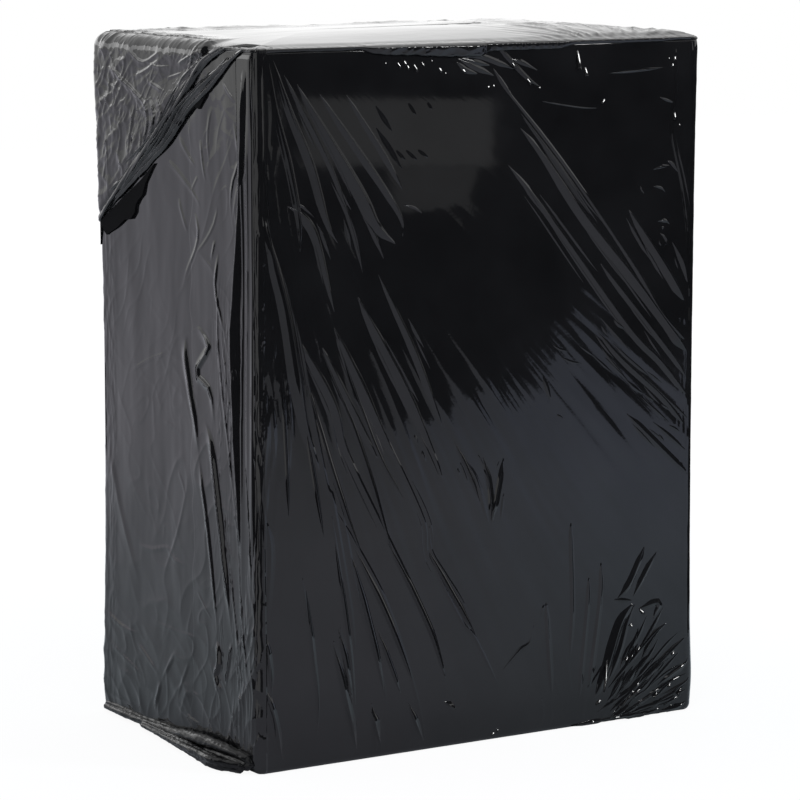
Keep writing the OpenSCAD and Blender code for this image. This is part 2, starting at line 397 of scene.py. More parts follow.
@dataclass(frozen=True)
class Pleat:
    """A pleat of the film, with one long flank and one steep one. Sizes are millimetres and degrees.

    The crest follows the line. The long flank lies to the left of a line that is drawn down the page, and
    on the other side where its slope is negative.
    """

    line: tuple[Spot, ...]
    flank: tuple[float, ...]
    slope: float
    back: float

    def course(self) -> Array:
        """Returns the crest as a smooth curve of evenly spaced points."""
        return even_curve(np.array(self.line, float), PLEAT_STEP)

    def fold(self, slim: float = 1.0) -> Crease:
        """Returns the same course as a soft fold of the web itself.

        Args:
            slim: Share of the pleat's width that the fold takes.

        Returns:
            The fold.
        """
        wide = slim * max(self.flank)
        high = 0.75 * wide * math.tan(math.radians(abs(self.slope)))
        return Crease(self.line, 0.8 * wide, 0.6 * wide, high, 0.35 if self.slope > 0 else -0.35, 0.25, 0.4)

    def splinters(self, rng: np.random.Generator, count: int) -> list["Pleat"]:
        """Returns narrower pleats that run along parts of this one.

        Args:
            rng: Source of their unevenness.
            count: Number of pleats.

        Returns:
            The narrower pleats.
        """
        course = self.course()
        found = []
        for _ in range(count):
            first = rng.uniform(0.0, 0.55)
            last = min(first + rng.uniform(0.22, 0.5), 0.98)
            spots = course[(np.linspace(first, last, 5) * (len(course) - 1)).astype(int)]
            run = spots[-1] - spots[0]
            side = np.array([-run[1], run[0]]) / max(np.linalg.norm(run), 1e-6)
            gap = rng.choice((-1, 1)) * rng.uniform(4, 12)
            spots = spots + side * gap * np.linspace(0.8, 1.15, 5)[:, None]
            if spots[:, 0].min() < 12 or spots[:, 0].max() > 584 or spots[:, 1].max() > 775:
                continue
            wide = rng.uniform(1.2, 3.2)
            line = tuple((float(u), float(v)) for u, v in spots)
            found.append(Pleat(line, (0.6, wide, wide, 0.6), self.slope, 2.0))
        return found

    def section(self) -> Array:
        """Returns the cross-section as rows of flank share, back share, height share and depth."""
        long = ((-1.12, -0.20), (-1.0, 0.0), (-0.72, 0.19), (-0.45, 0.44), (-0.2, 0.75), (-0.06, 0.94))
        steep = ((0.0, 1.0), (0.12, 0.94), (0.4, 0.66), (0.75, 0.26), (1.0, 0.0), (1.2, -0.25))
        rows = [(across, 0.0, high, 0.0) for across, high in long]
        rows += [(0.0, across, high, 0.0) for across, high in steep]
        return np.array([*rows, (0.0, 0.8, -0.3, -1.2), (-0.9, 0.0, -0.3, -1.2), rows[0]])


def pleat_rows(*rows: tuple) -> tuple[Pleat, ...]:
    """Returns pleats from rows of the slope, the steep flank's width, the long one's and the crest."""
    return tuple(Pleat(tuple(line), flank, slope, back) for slope, back, flank, *line in rows)


@dataclass(frozen=True)
class Bulge:
    """A broad swelling or hollow of the film over one place of a face, in millimetres."""

    place: Spot
    size: Spot
    height: float

    def add_to(self, lift: Array, u: Array, v: Array) -> None:
        """Adds the bulge to the heights of a face, in place."""
        far = np.hypot((u - self.place[0]) / self.size[0], (v - self.place[1]) / self.size[1])
        lift += self.height * hump(far)


@dataclass(frozen=True)
class PleatFan:
    """Pleats that spread from one place of a face, where the film was caught, in millimetres and degrees."""

    apex: Spot
    angles: Spot
    count: int
    start: Spot
    reach: Spot
    width: Spot
    height: Spot
    seed: int
    lean: float = 0.3

    def creases(self) -> list[Crease]:
        """Returns the pleats of the fan, each a little out of true."""
        rng = np.random.default_rng(self.seed)
        found = []
        for i in range(self.count):
            share = (i + 0.5 + 0.8 * (rng.random() - 0.5)) / self.count
            angle = math.radians(lerp(*self.angles, share))
            near = lerp(*self.start, rng.random())
            far = near + lerp(*self.reach, rng.random() ** 1.4)
            sway = rng.normal(0, 0.012)
            line = []
            for t in (0.0, 0.33, 0.67, 1.0):
                r = lerp(near, far, t)
                a = angle + sway * math.sin(3 * t + i)
                line.append((self.apex[0] + r * math.cos(a), self.apex[1] + r * math.sin(a)))
            wide = lerp(*self.width, rng.random())
            high = lerp(*self.height, rng.random() ** 1.5)
            lean = self.lean * (1 if rng.random() < 0.75 else -1)
            found.append(Crease(tuple(line), 0.7 * wide, wide, high, lean))
        return found


# Pleats of the front face. A row gives the slope of the long flank in degrees, the width of the steep one and
# the widths of the long one in millimetres, and then the crest, from the lower left corner of the face.
FRONT_PLEATS = pleat_rows(
    (7, 2, (1, 4.8, 7.2, 6.4, 1.6), (17, 786), (27, 732), (45, 667), (56, 610), (57, 573)),
    (8, 2, (1, 6.4, 8.0, 7.2, 1.6), (22, 788), (44, 731), (71, 671), (91, 608), (106, 581)),
    (8, 2, (1, 4.8, 4.0, 3.2, 1.6), (35, 772), (94, 670), (121, 603), (137, 548)),
    (8, 2, (1.6, 7.2, 10.4, 11.2, 3.2), (51, 761), (129, 646), (155, 601), (181, 577)),
    (7, 2, (1.6, 5.6, 6.4, 5.6, 1.6), (79, 750), (178, 622), (189, 583)),
    (7, 2, (1.6, 4.8, 5.6, 2.4), (113, 748), (164, 678), (189, 636)),
    (8, 2, (1, 8.0, 6.4, 4.0, 1.6), (37, 629), (59, 617), (78, 589), (101, 505)),
    (9, 2, (1, 3, 3, 1), (94, 654), (113, 622), (127, 592), (137, 546)),
    (9, 2, (1, 4, 2), (134, 614), (152, 589), (165, 560)),
    (8, 2, (2, 4, 2), (44, 751), (56, 736), (64, 714)),
    (8, 2.5, (2, 9, 12, 9, 3), (98, 494), (183, 330)),
    (8, 2.5, (2, 8, 11, 11, 6, 2), (128, 526), (204, 394), (243, 307)),
    (8, 2.5, (1, 4.8, 6.4, 6.4, 2.4), (155, 549), (204, 457), (242, 366)),
    (8, 3, (2, 9, 10, 6, 4, 4, 4, 3, 1), (55, 481), (99, 406), (121, 340), (209, 174), (235, 108), (246, 71)),
    (7, 3, (2, 7, 8, 2), (83, 473), (157, 337)),
    (8, 4, (4.0, 9.6, 11.2, 12.8, 9.6, 2.4), (8, 620), (40, 512), (62, 392), (82, 326)),
    (8, 3, (3, 6, 7, 4, 3, 3, 1), (64, 436), (89, 319), (97, 300), (118, 185), (127, 116)),
    (8, 3, (1, 3, 5, 4, 3, 3, 1), (109, 289), (127, 200), (160, 90), (166, 47)),
    (7, 2.5, (1, 3, 4, 3, 3, 3, 3, 1), (100, 290), (164, 182), (202, 77), (219, 5)),
    (8, 2.5, (1, 3, 3, 2, 1), (57, 220), (69, 134), (75, 43)),
    (9, 6, (1, 4, 5, 4, 2), (96, 145), (125, 13)),
    (9, 5, (1, 4, 4, 1), (105, 159), (120, 71), (128, 38)),
    (9, 5, (2, 4, 3), (145, 68), (152, 4)),
    (9, 6, (1, 4, 2), (156, 49), (158, 6)),
    (8, 3, (2, 3, 4, 3), (5, 126), (32, 12)),
    (8, 3, (1, 3, 2), (7, 92), (22, 25)),
    (7, 2, (2, 4, 3, 3, 2, 3, 3, 1), (162, 373), (215, 269), (223, 224), (255, 175), (288, 114)),
    (7, 2, (2, 3, 1), (208, 369), (239, 309)),
    (7, 2, (2, 2), (264, 330), (277, 299)),
    (7, 2.5, (1, 3, 2), (191, 64), (215, 8)),
    (6, 2, (2, 3, 3, 3, 3, 1), (223, 224), (266, 146), (285, 123), (319, 58)),
    (-5, 3, (2, 3, 2), (150, 735), (176, 700)),
    (-5, 3, (2, 2), (192, 737), (207, 717)),
    (-5, 3, (2, 2), (217, 736), (228, 723)),
    (-5, 3, (2, 2, 2), (176, 685), (194, 668)),
    (-5, 3, (2, 2, 2), (189, 684), (209, 668)),
    (-5, 3, (2, 2, 2), (204, 684), (224, 670)),
    (-6, 3, (2, 4, 2), (151, 711), (189, 658)),
    (7, 2, (2, 2, 1), (186, 622), (203, 618), (216, 609)),
    (12, 3, (1.6, 1.6, 2.4, 2.4, 2.4, 2.4, 2.4, 3.2, 4.0, 4.8, 4.8), (311, 758), (401, 661), (502, 537),
        (543, 479), (579, 443)),
    (12, 2, (1, 2, 2, 2, 1), (342, 719), (367, 691), (442, 596)),
    (9, 3, (1, 4.8, 8.0, 8.8, 9.6, 9.6, 8.0, 7.2, 9.6), (341, 703), (378, 665), (434, 595), (509, 514),
        (581, 430)),
    (9, 2.5, (2.4, 4.8, 4.8, 4.8, 4.0), (454, 543), (555, 432), (581, 399)),
    (9, 3, (1, 4.0, 4.8, 5.6, 6.4, 5.6, 5.6, 5.6, 4.8), (325, 662), (377, 607), (494, 467), (543, 421),
        (582, 378)),
    (8, 3, (1, 4, 5, 5, 5, 4), (450, 465), (487, 428), (544, 381), (579, 343)),
    (8, 2.5, (1, 3, 1), (454, 481), (503, 433)),
    (7, 3, (2.4, 7.2, 8.0, 7.2), (493, 603), (546, 534), (577, 489)),
    (7, 3, (2.4, 4.8, 4.0), (556, 563), (573, 536), (581, 509)),
    (9, 2, (1, 3, 1), (336, 654), (377, 600)),
    (8, 3, (2, 3, 3, 2), (512, 411), (585, 349)),
    (6, 5, (1, 4, 4, 3), (492, 366), (586, 282)),
    (6, 3.5, (1, 3, 2), (530, 353), (583, 311)),
    (6, 3, (1, 2, 1), (512, 384), (559, 346)),
    (-6, 2.5, (2, 2, 1), (388, 453), (402, 445), (417, 442)),
    (-6, 2.5, (2, 2, 1), (399, 438), (416, 430), (435, 426)),
    (-6, 2.5, (1, 2, 1), (424, 450), (455, 430)),
    (-6, 2.5, (1, 2, 1), (441, 440), (481, 407)),
    (-6, 3, (1, 3, 1), (461, 434), (501, 398)),
    (-6, 3, (1, 3, 1), (489, 408), (506, 393), (524, 382)),
    (-6, 4, (2, 3, 2), (376, 422), (390, 384)),
    (-6, 3, (2, 1), (394, 372), (408, 364)),
    (-13, 4, (4, 5, 4), (383, 156), (390, 43)),
    (-13, 4, (3, 4, 4, 2), (417, 246), (420, 141), (416, 81)),
    (-13, 4, (3, 4, 5, 5, 4), (460, 195), (459, 147), (442, 42)),
    (-13, 4, (3, 4, 4, 3), (443, 179), (441, 138), (428, 32)),
    (-6, 4, (2, 3, 2), (382, 154), (375, 133)),
    (-6, 3, (1, 2, 3, 2, 1), (317, 77), (346, 101), (360, 109), (367, 132)),
    (-6, 5, (2, 4, 3), (374, 45), (378, 27), (376, 7)),
    (-6, 3, (1, 3, 2), (387, 37), (390, 19), (387, 5)),
    (-5, 4, (2, 3, 4, 2), (267, 334), (287, 305), (305, 249)),
    (6, 3, (2, 3, 3, 2), (325, 330), (307, 249)),
    (-5, 3, (1, 2, 1), (287, 337), (306, 305)),
    (-24, 6, (3, 7, 9, 8, 3), (448, 30), (467, 66), (488, 118), (507, 140)),
    (-16, 4, (2, 6, 6, 5, 2), (481, 144), (502, 164), (523, 207)),
    (-16, 3, (2, 5, 5, 2), (504, 143), (541, 199)),
    (-14, 3, (2, 3, 2), (475, 146), (508, 141)),
    (16, 4, (2, 4, 5, 3), (510, 140), (498, 117), (487, 85), (467, 46)),
    (-20, 4, (2, 5, 5, 2), (511, 130), (543, 135), (533, 113)),
    (-14, 4, (2, 4, 5, 5, 4), (451, 13), (512, 42), (583, 90)),
    (16, 3, (2, 3, 4, 3), (488, 5), (558, 18), (584, 27)),
    (-14, 3, (2, 3, 4, 4, 2), (466, 39), (533, 96), (556, 110)),
    (-14, 3, (2, 3, 2), (420, 2), (477, 5)),
    (16, 2.5, (2, 3, 3, 2), (517, 28), (574, 74)),
    (16, 2.5, (2, 3, 2), (534, 19), (569, 46)),
    (-16, 3, (2, 3, 2), (558, 16), (569, 29), (581, 37)),
    (12, 3, (2, 3, 2, 3, 3, 2), (558, 787), (559, 736), (554, 690), (572, 620), (582, 550), (583, 491)),
    (12, 3, (2, 3, 3, 3, 2), (581, 793), (586, 677), (585, 526)),
    (12, 2, (2, 3, 2), (526, 645), (540, 649), (555, 649)),
    (12, 2, (2, 3, 2), (546, 656), (557, 651), (566, 639)),
    (14, 2, (1, 2, 1), (526, 627), (541, 624), (549, 616)),
    (14, 2, (1, 3, 1), (533, 585), (547, 586), (556, 579)),
    (14, 2, (1, 3, 1), (538, 573), (550, 563), (544, 552)),
    (14, 2, (2, 1), (509, 629), (518, 616)),
    (12, 2, (1, 2, 2, 1), (463, 758), (544, 763)),
    (14, 1.5, (1, 1, 1, 1), (369, 730), (424, 721), (452, 719)),
    (12, 2, (1, 2, 1), (533, 730), (562, 720)),
    (24, 3, (1.6, 4.0, 4.0, 1.6), (256, 782), (310, 759)),
    (24, 3, (1.6, 4.0, 2.4), (259, 782), (304, 771)),
    (22, 3, (2, 4, 2), (255, 779), (270, 768), (288, 762)),
    (22, 2.5, (2, 3, 3, 2), (304, 771), (337, 730)),
    (40, 2.5, (3, 3, 3, 3, 2.5, 2), (307, 797), (349, 759), (371, 745)),
    (22, 3, (2, 4, 4, 2), (262, 781), (288, 783), (337, 766)),
    (20, 3, (2, 3, 1), (319, 780), (342, 775), (369, 763)),
    (6, 2, (3, 3, 3, 2), (9, 784), (13, 657), (20, 592)),
    (-8, 5, (4, 6, 6, 3), (11, 440), (14, 385), (11, 341), (13, 286)),
    (-8, 4, (3, 5, 3), (19, 426), (25, 349)),
    (-7, 4, (4, 6, 5, 2), (13, 286), (18, 241), (10, 152)),
    (-5, 4, (4, 6, 2), (32, 439), (44, 334)),
)

# Slits of the lower front face, whose short flank faces the near edge: the widths of both flanks, and
# the line.
SLITS: tuple[Pleat, ...] = tuple(
    Pleat(line, (1, wide, wide, 1), -24, back)
    for wide, back, line in (
        (4, 2.1, ((62, 205), (69, 145), (75, 80), (75, 31))),
        (8, 2.6, ((96, 139), (107, 92), (120, 40), (127, 10))),
        (6, 2.3, ((103, 156), (114, 103), (121, 56))),
        (4, 2.1, ((99, 255), (108, 198), (118, 128), (125, 56))),
        (6, 2.3, ((118, 242), (137, 175), (153, 116), (164, 66))),
        (6, 2.3, ((124, 244), (161, 172), (183, 124), (203, 76))),
        (6, 2.3, ((166, 248), (197, 191), (227, 130), (246, 75))),
        (5, 2.2, ((219, 235), (250, 182), (287, 124))),
        (8, 2.6, ((146, 64), (150, 36), (160, 12))),
        (5, 2.2, ((193, 62), (206, 29), (217, 9))),
        (4, 2.1, ((153, 150), (170, 107), (186, 66))),
        (5, 2.2, ((6, 108), (21, 61), (31, 12))),
        (5, 2.2, ((9, 164), (15, 121), (17, 84))),
        (4, 2.1, ((12, 85), (23, 38))),
        (5, 2.2, ((241, 56), (250, 48), (260, 42))),
        (4, 2.1, ((32, 450), (37, 367), (41, 283))),
        (5, 2.2, ((61, 447), (86, 362), (112, 287), (137, 228))),
        (5, 2.2, ((83, 468), (131, 358), (177, 224))),
        (4, 2.1, ((99, 489), (151, 357), (190, 291))),
        (6, 2.3, ((295, 333), (304, 292), (307, 251))),
        (6, 2.3, ((324, 330), (315, 291), (308, 251))),
        (4, 2.1, ((55, 437), (69, 347), (86, 256))),
        (4, 2.1, ((256, 353), (277, 312), (293, 276))),
    )
)

FRONT_FANS: tuple[PleatFan, ...] = (
    PleatFan((0, 800), (-86, -60), 26, (60, 360), (60, 260), (3, 6), (0.1, 0.4), 11),
    PleatFan((420, -70), (28, 62), 26, (60, 110), (30, 110), (3, 6), (0.4, 1.4), 13),
    PleatFan((430, -40), (60, 110), 8, (40, 90), (20, 70), (3, 5), (0.2, 0.5), 14),
)

FRONT_BULGES: tuple[Bulge, ...] = (
    Bulge((110, 330), (150, 160), 0.5),
    Bulge((480, 260), (160, 160), 0.5),
)

# Folds of the left face, from its near edge and the floor.
LEFT_PLEATS = pleat_rows(
    (26, 6, (9, 9, 8, 11, 14, 12, 9, 5), (17, 790), (24, 700), (33, 600), (44, 490), (42, 358), (35, 215)),
    (20, 4, (6, 10, 12, 12, 10, 8, 3), (160, 475), (163, 453), (150, 406), (141, 383), (133, 334)),
    (22, 5, (4, 8, 8, 6, 5, 5, 3), (135, 343), (113, 258), (96, 170), (92, 135)),
    (20, 4, (3, 8, 10, 8, 8, 10, 10, 8, 3), (139, 485), (121, 476), (108, 464), (126, 446), (136, 430),
        (106, 415), (98, 371)),
    (26, 7, (6, 12, 12, 8, 8, 7, 6, 6, 3), (123, 383), (114, 371), (98, 337), (67, 186), (60, 141)),
    (30, 7, (6, 10, 10, 4), (95, 136), (86, 115), (95, 90), (77, 80)),
    (24, 4, (3, 6, 3), (60, 141), (73, 83)),
)

# Softer folds of the left face.
LEFT_FOLDS = pleat_rows(
    (22, 4, (3, 6, 6, 2), (30, 371), (17, 240), (17, 184)),
    (20, 3, (3, 5, 6, 6, 3), (85, 574), (90, 550), (91, 526), (71, 476)),
    (9, 4, (3, 5, 5, 2), (304, 412), (257, 432), (220, 443), (182, 447)),
    (12, 4, (3, 5, 5, 2), (284, 214), (249, 214), (213, 222), (182, 220)),
    (14, 4, (3, 6, 6, 4), (286, 100), (238, 76), (223, 65)),
    (18, 5, (5, 8, 5), (223, 65), (229, 45), (239, 24)),
    (14, 4, (3, 6, 3), (191, 100), (223, 63)),
    (12, 4, (3, 6, 3), (156, 101), (185, 49)),
    (12, 5, (4, 6, 3), (362, 122), (311, 110), (261, 110)),
    (12, 4, (3, 6, 4), (352, 88), (253, 57)),
    (12, 3, (3, 5, 2), (215, 224), (192, 211), (163, 209)),
    (12, 3, (3, 4, 2), (140, 185), (104, 155)),
    (10, 4, (3, 5, 2), (251, 130), (179, 129), (113, 132)),
    (14, 3, (2, 4, 5, 5, 5, 5, 2), (81, 562), (89, 497), (83, 440), (52, 279), (44, 224)),
    (16, 3, (3, 5, 5, 3), (55, 334), (31, 148)),
    (16, 3, (3, 5, 5, 3), (43, 235), (37, 180), (19, 82)),
    (14, 3, (3, 5, 5, 4, 2), (66, 232), (32, 80), (19, 49)),
    (14, 3, (3, 4, 2), (71, 761), (58, 749), (41, 739)),
    (12, 3, (3, 5, 5, 2), (96, 731), (104, 711), (106, 689), (102, 664)),
    (14, 3, (2, 5, 2), (122, 694), (118, 666), (111, 645)),
    (14, 3, (3, 5, 2), (173, 694), (152, 674), (134, 662)),
    (12, 3, (2, 4, 2), (130, 652), (148, 634)),
    (14, 3, (3, 5, 2), (176, 626), (170, 610), (154, 584)),
    (14, 3, (2, 5, 6, 6, 2), (142, 614), (131, 597), (133, 577), (157, 546), (171, 522)),
    (12, 3, (2, 5, 5, 2), (85, 626), (92, 605), (112, 583), (143, 561)),
    (16, 3, (2, 5, 2), (92, 585), (102, 560)),
    (16, 4, (3, 5, 6, 6, 5, 2), (48, 722), (37, 677), (49, 656), (56, 632), (54, 605)),
    (10, 4, (3, 6, 6, 2), (201, 666), (169, 650), (132, 626), (123, 613)),
    (5, 8, (6, 16, 20, 18, 6), (356, 327), (323, 248), (275, 161)),
    (10, 3, (3, 6, 3), (371, 348), (365, 206)),
    (10, 3, (2, 5, 2), (185, 316), (171, 299), (166, 284)),
    (8, 3, (2, 4, 2), (222, 368), (193, 363), (165, 353)),
    (12, 4, (4, 6, 4), (364, 25), (313, 23), (264, 14)),
    (14, 4, (3, 6, 3), (190, 48), (157, 36), (119, 30)),
)

# Folds of the last turn, where it hangs down the left face.
TURN_PLEATS = pleat_rows(
    (24, 5, (4, 8, 10, 8, 3), (322, 770), (305, 757), (250, 731), (233, 718)),
    (18, 4, (3, 8, 8, 6, 2), (285, 796), (270, 783), (246, 773), (213, 783), (185, 796)),
    (18, 4, (3, 8, 3), (269, 755), (237, 765), (201, 780)),
    (18, 4, (3, 7, 3), (237, 754), (193, 742)),
    (18, 4, (4, 7, 3), (366, 715), (340, 728), (306, 739)),
    (18, 4, (4, 8, 3), (365, 735), (329, 774)),
    (24, 5, (3, 8, 8, 4), (267, 729), (285, 677), (285, 658)),
    (26, 5, (4, 9, 8, 3), (245, 732), (236, 708), (256, 671)),
    (26, 5, (3, 8, 7, 2), (231, 736), (219, 712), (241, 681)),
    (24, 4, (3, 7, 3), (214, 737), (203, 719), (215, 701)),
    (22, 4, (3, 7, 3), (258, 698), (256, 675), (281, 656)),
    (14, 4, (3, 6, 3), (311, 713), (304, 693), (307, 670)),
    (12, 4, (3, 6, 3), (341, 691), (337, 656), (348, 621)),
    (20, 4, (3, 7, 7, 3), (171, 772), (80, 803)),
    (20, 4, (3, 6, 3), (167, 750), (121, 777)),
    (20, 4, (3, 6, 3), (195, 720), (158, 753)),
    (16, 4, (3, 6, 3), (237, 776), (213, 770), (176, 772)),
    (16, 3, (2, 5, 2), (190, 758), (153, 766)),
    (14, 4, (3, 6, 3), (334, 769), (344, 789), (329, 799)),
    (14, 4, (3, 6, 3), (312, 670), (303, 652), (288, 641)),
    (18, 3, (3, 6, 2), (281, 723), (292, 707), (302, 698)),
)

# The upper and lower course of the rope that the hem of the last turn has gathered into.
HEM_UPPER: tuple[Spot, ...] = (
    (71, 800), (127, 777), (181, 733), (212, 704), (254, 675), (300, 648), (362, 611),
)
HEM_LOWER: tuple[Spot, ...] = (
    (20, 800), (62, 782), (110, 752), (161, 720), (187, 693), (235, 663), (289, 630), (362, 586),
)


@dataclass(frozen=True)
class Glint:
    """A small facet of a fold of the front that faces the spark lamp. Sizes are millimetres and degrees."""

    place: Spot
    length: float
    width: float
    turn: float


GLINTS = tuple(
    Glint(*row)
    for row in (
        ((165, 778), 2.2, 2.2, 0), ((182, 776), 7.7, 2.2, -35), ((190, 778), 6.6, 2.8, -30),
        ((194, 773), 5.5, 2.8, -20), ((203, 773), 9.9, 2.2, -30), ((213, 776), 6.6, 1.7, -35),
        ((225, 779), 2.2, 2.2, 0), ((236, 769), 6.6, 3.3, -35), ((243, 765), 2.2, 2.2, 0),
        ((267, 767), 6.6, 3.3, -45), ((300, 748), 3.9, 2.8, 80), ((307, 749), 3.3, 2.8, 0),
        ((421, 777), 19.8, 3.3, -3), ((432, 762), 9.9, 3.3, -10), ((557, 773), 5.5, 3.3, 10),
        ((554, 765), 4.4, 3.3, 20), ((549, 773), 2.0, 2.0, 0), ((457, 727), 6.6, 2.8, 35),
        ((558, 707), 8.8, 2.8, 5), ((565, 696), 2.2, 2.2, 0), ((369, 745), 2.8, 2.8, 0),
        ((396, 795), 4.4, 2.2, 30), ((472, 796), 4.4, 1.7, 80), ((353, 754), 11.0, 2.0, -38),
        ((331, 774), 13.2, 1.8, -32), ((518, 128), 7.7, 2.2, -40), ((503, 113), 3.9, 3.3, 0),
        ((504, 33), 3.3, 2.8, 0), ((511, 43), 7.7, 1.8, 35), ((538, 26), 7.7, 2.2, 35),
        ((563, 73), 5.5, 2.4, 35), ((462, 64), 37.4, 1.8, 24), ((456, 27), 7.7, 2.8, 50),
        ((449, 4), 3.3, 2.8, 0), ((513, 84), 6.6, 1.8, 45), ((504, 78), 7.7, 2.0, 40),
        ((496, 74), 6.6, 1.8, 45), ((557, 35), 5.5, 1.7, 40), ((572, 26), 8.8, 1.4, 35),
        ((309, 8), 4.4, 2.8, 50), ((315, 11), 3.3, 2.2, 40),
    )
)

# Upright ribbons of the front web where it turns onto the left face, from the near edge.
RIBBONS: tuple[Crease, ...] = (
    Crease(((-19, 721), (-19, 592), (-23, 438), (-25, 238)), 6, 7, 1.6, 0.2),
    Crease(((-6, 743), (-8, 571), (-12, 396), (-18, 150)), 6, 7, 1.4, -0.2),
    Crease(((-32, 700), (-30, 536), (-36, 400), (-38, 120)), 5, 8, 2.2, 0.4),
)


class Socket:
    """A shader value that is worked on with plain arithmetic."""

    def __init__(self, shader: "Shader", output: bpy.types.NodeSocket) -> None:
        """Wraps an output of one of the shader's nodes."""
        self.shader = shader
        self.output = output

    def _math(self, operation: str, *values: "Socket | float") -> "Socket":
        """Returns a Math node's result for these values."""
        return self.shader.node("ShaderNodeMath", {"operation": operation}, dict(enumerate(values)))

    def __add__(self, other: "Socket | float") -> "Socket":
        """Returns the sum."""
        return self._math("ADD", self, other)

    __radd__ = __add__

    def __sub__(self, other: "Socket | float") -> "Socket":
        """Returns the difference."""
        return self._math("SUBTRACT", self, other)

    def __rsub__(self, other: "Socket | float") -> "Socket":
        """Returns the difference, the other way round."""
        return self._math("SUBTRACT", other, self)

    def __mul__(self, other: "Socket | float") -> "Socket":
        """Returns the product."""
        return self._math("MULTIPLY", self, other)

    __rmul__ = __mul__

    def __truediv__(self, other: "Socket | float") -> "Socket":
        """Returns the quotient."""
        return self._math("DIVIDE", self, other)

    def __pow__(self, other: "Socket | float") -> "Socket":
        """Returns the power."""
        return self._math("POWER", self, other)

    def held(self) -> "Socket":
        """Returns the value held between 0 and 1."""
        return self._math("MINIMUM", self._math("MAXIMUM", self, 0.0), 1.0)


class Shader:
    """A material, and the nodes that are put into it."""

    def __init__(self, name: str) -> None:
        """Makes an empty material.

        Args:
            name: The material's name.
        """
        self.material = bpy.data.materials.new(name)
        self.material.use_nodes = True
        self.tree = self.material.node_tree
        self.tree.nodes.clear()

    def node(
        self,
        kind: str,
        settings: Optional[dict[str, object]] = None,
        inputs: Optional[dict[object, object]] = None,
        output: object = 0,
    ) -> Socket:
        """Adds a node.

        Args:
            kind: The node's type.
            settings: Its settings, such as an operation.
            inputs: The value or link of each socket, by name or number.
            output: Name or number of the output that is returned.

        Returns:
            That output.
        """
        made = self.tree.nodes.new(kind)
        for key, value in (settings or {}).items():
            setattr(made, key, value)
        for key, value in (inputs or {}).items():
            if isinstance(value, Socket):
                self.tree.links.new(value.output, made.inputs[key])
            else:
                made.inputs[key].default_value = value
        return Socket(self, made.outputs[output])

    def noise(self, where: Socket, scale: float, detail: float = 2.0, rough: float = 0.5) -> Socket:
        """Returns noise from about 0.2 to 0.8, with its features to the unit and its finer layers."""
        inputs = {"Vector": where, "Scale": scale, "Detail": detail, "Roughness": rough}
        return self.node("ShaderNodeTexNoise", {"noise_dimensions": "3D"}, inputs, "Fac")

    def attribute(self, name: str) -> Socket:
        """Returns a number that the mesh holds at its points."""
        return self.node("ShaderNodeAttribute", {"attribute_name": name}, {}, "Fac")

    def stretched(self, where: Socket, scale: Point) -> Socket:
        """Returns coordinates scaled by different amounts along their axes."""
        return self.node("ShaderNodeVectorMath", {"operation": "MULTIPLY"}, {0: where, 1: scale})

    def blend(self, share: Socket, first: "Socket | Point", second: "Socket | Point") -> Socket:
        """Mixes two colours.

        Args:
            share: Share of the second colour.
            first: A colour, or a link that gives one.
            second: The other.

        Returns:
            The mixed colour.
        """
        made = self.tree.nodes.new("ShaderNodeMix")
        made.data_type = "RGBA"
        self.tree.links.new(share.output, made.inputs["Factor"])
        for number, colour in ((6, first), (7, second)):
            if isinstance(colour, Socket):
                self.tree.links.new(colour.output, made.inputs[number])
            else:
                made.inputs[number].default_value = (*colour, 1.0)
        return Socket(self, made.outputs[2])

    def surface(self, inputs: dict[str, object]) -> None:
        """Makes the surface from the value or link of each socket of the Principled shader."""
        self.node_out(self.node("ShaderNodeBsdfPrincipled", {}, inputs))

    def node_out(self, surface: Socket) -> None:
        """Links a finished surface to the material's output."""
        out = self.tree.nodes.new("ShaderNodeOutputMaterial")
        self.tree.links.new(surface.output, out.inputs["Surface"])


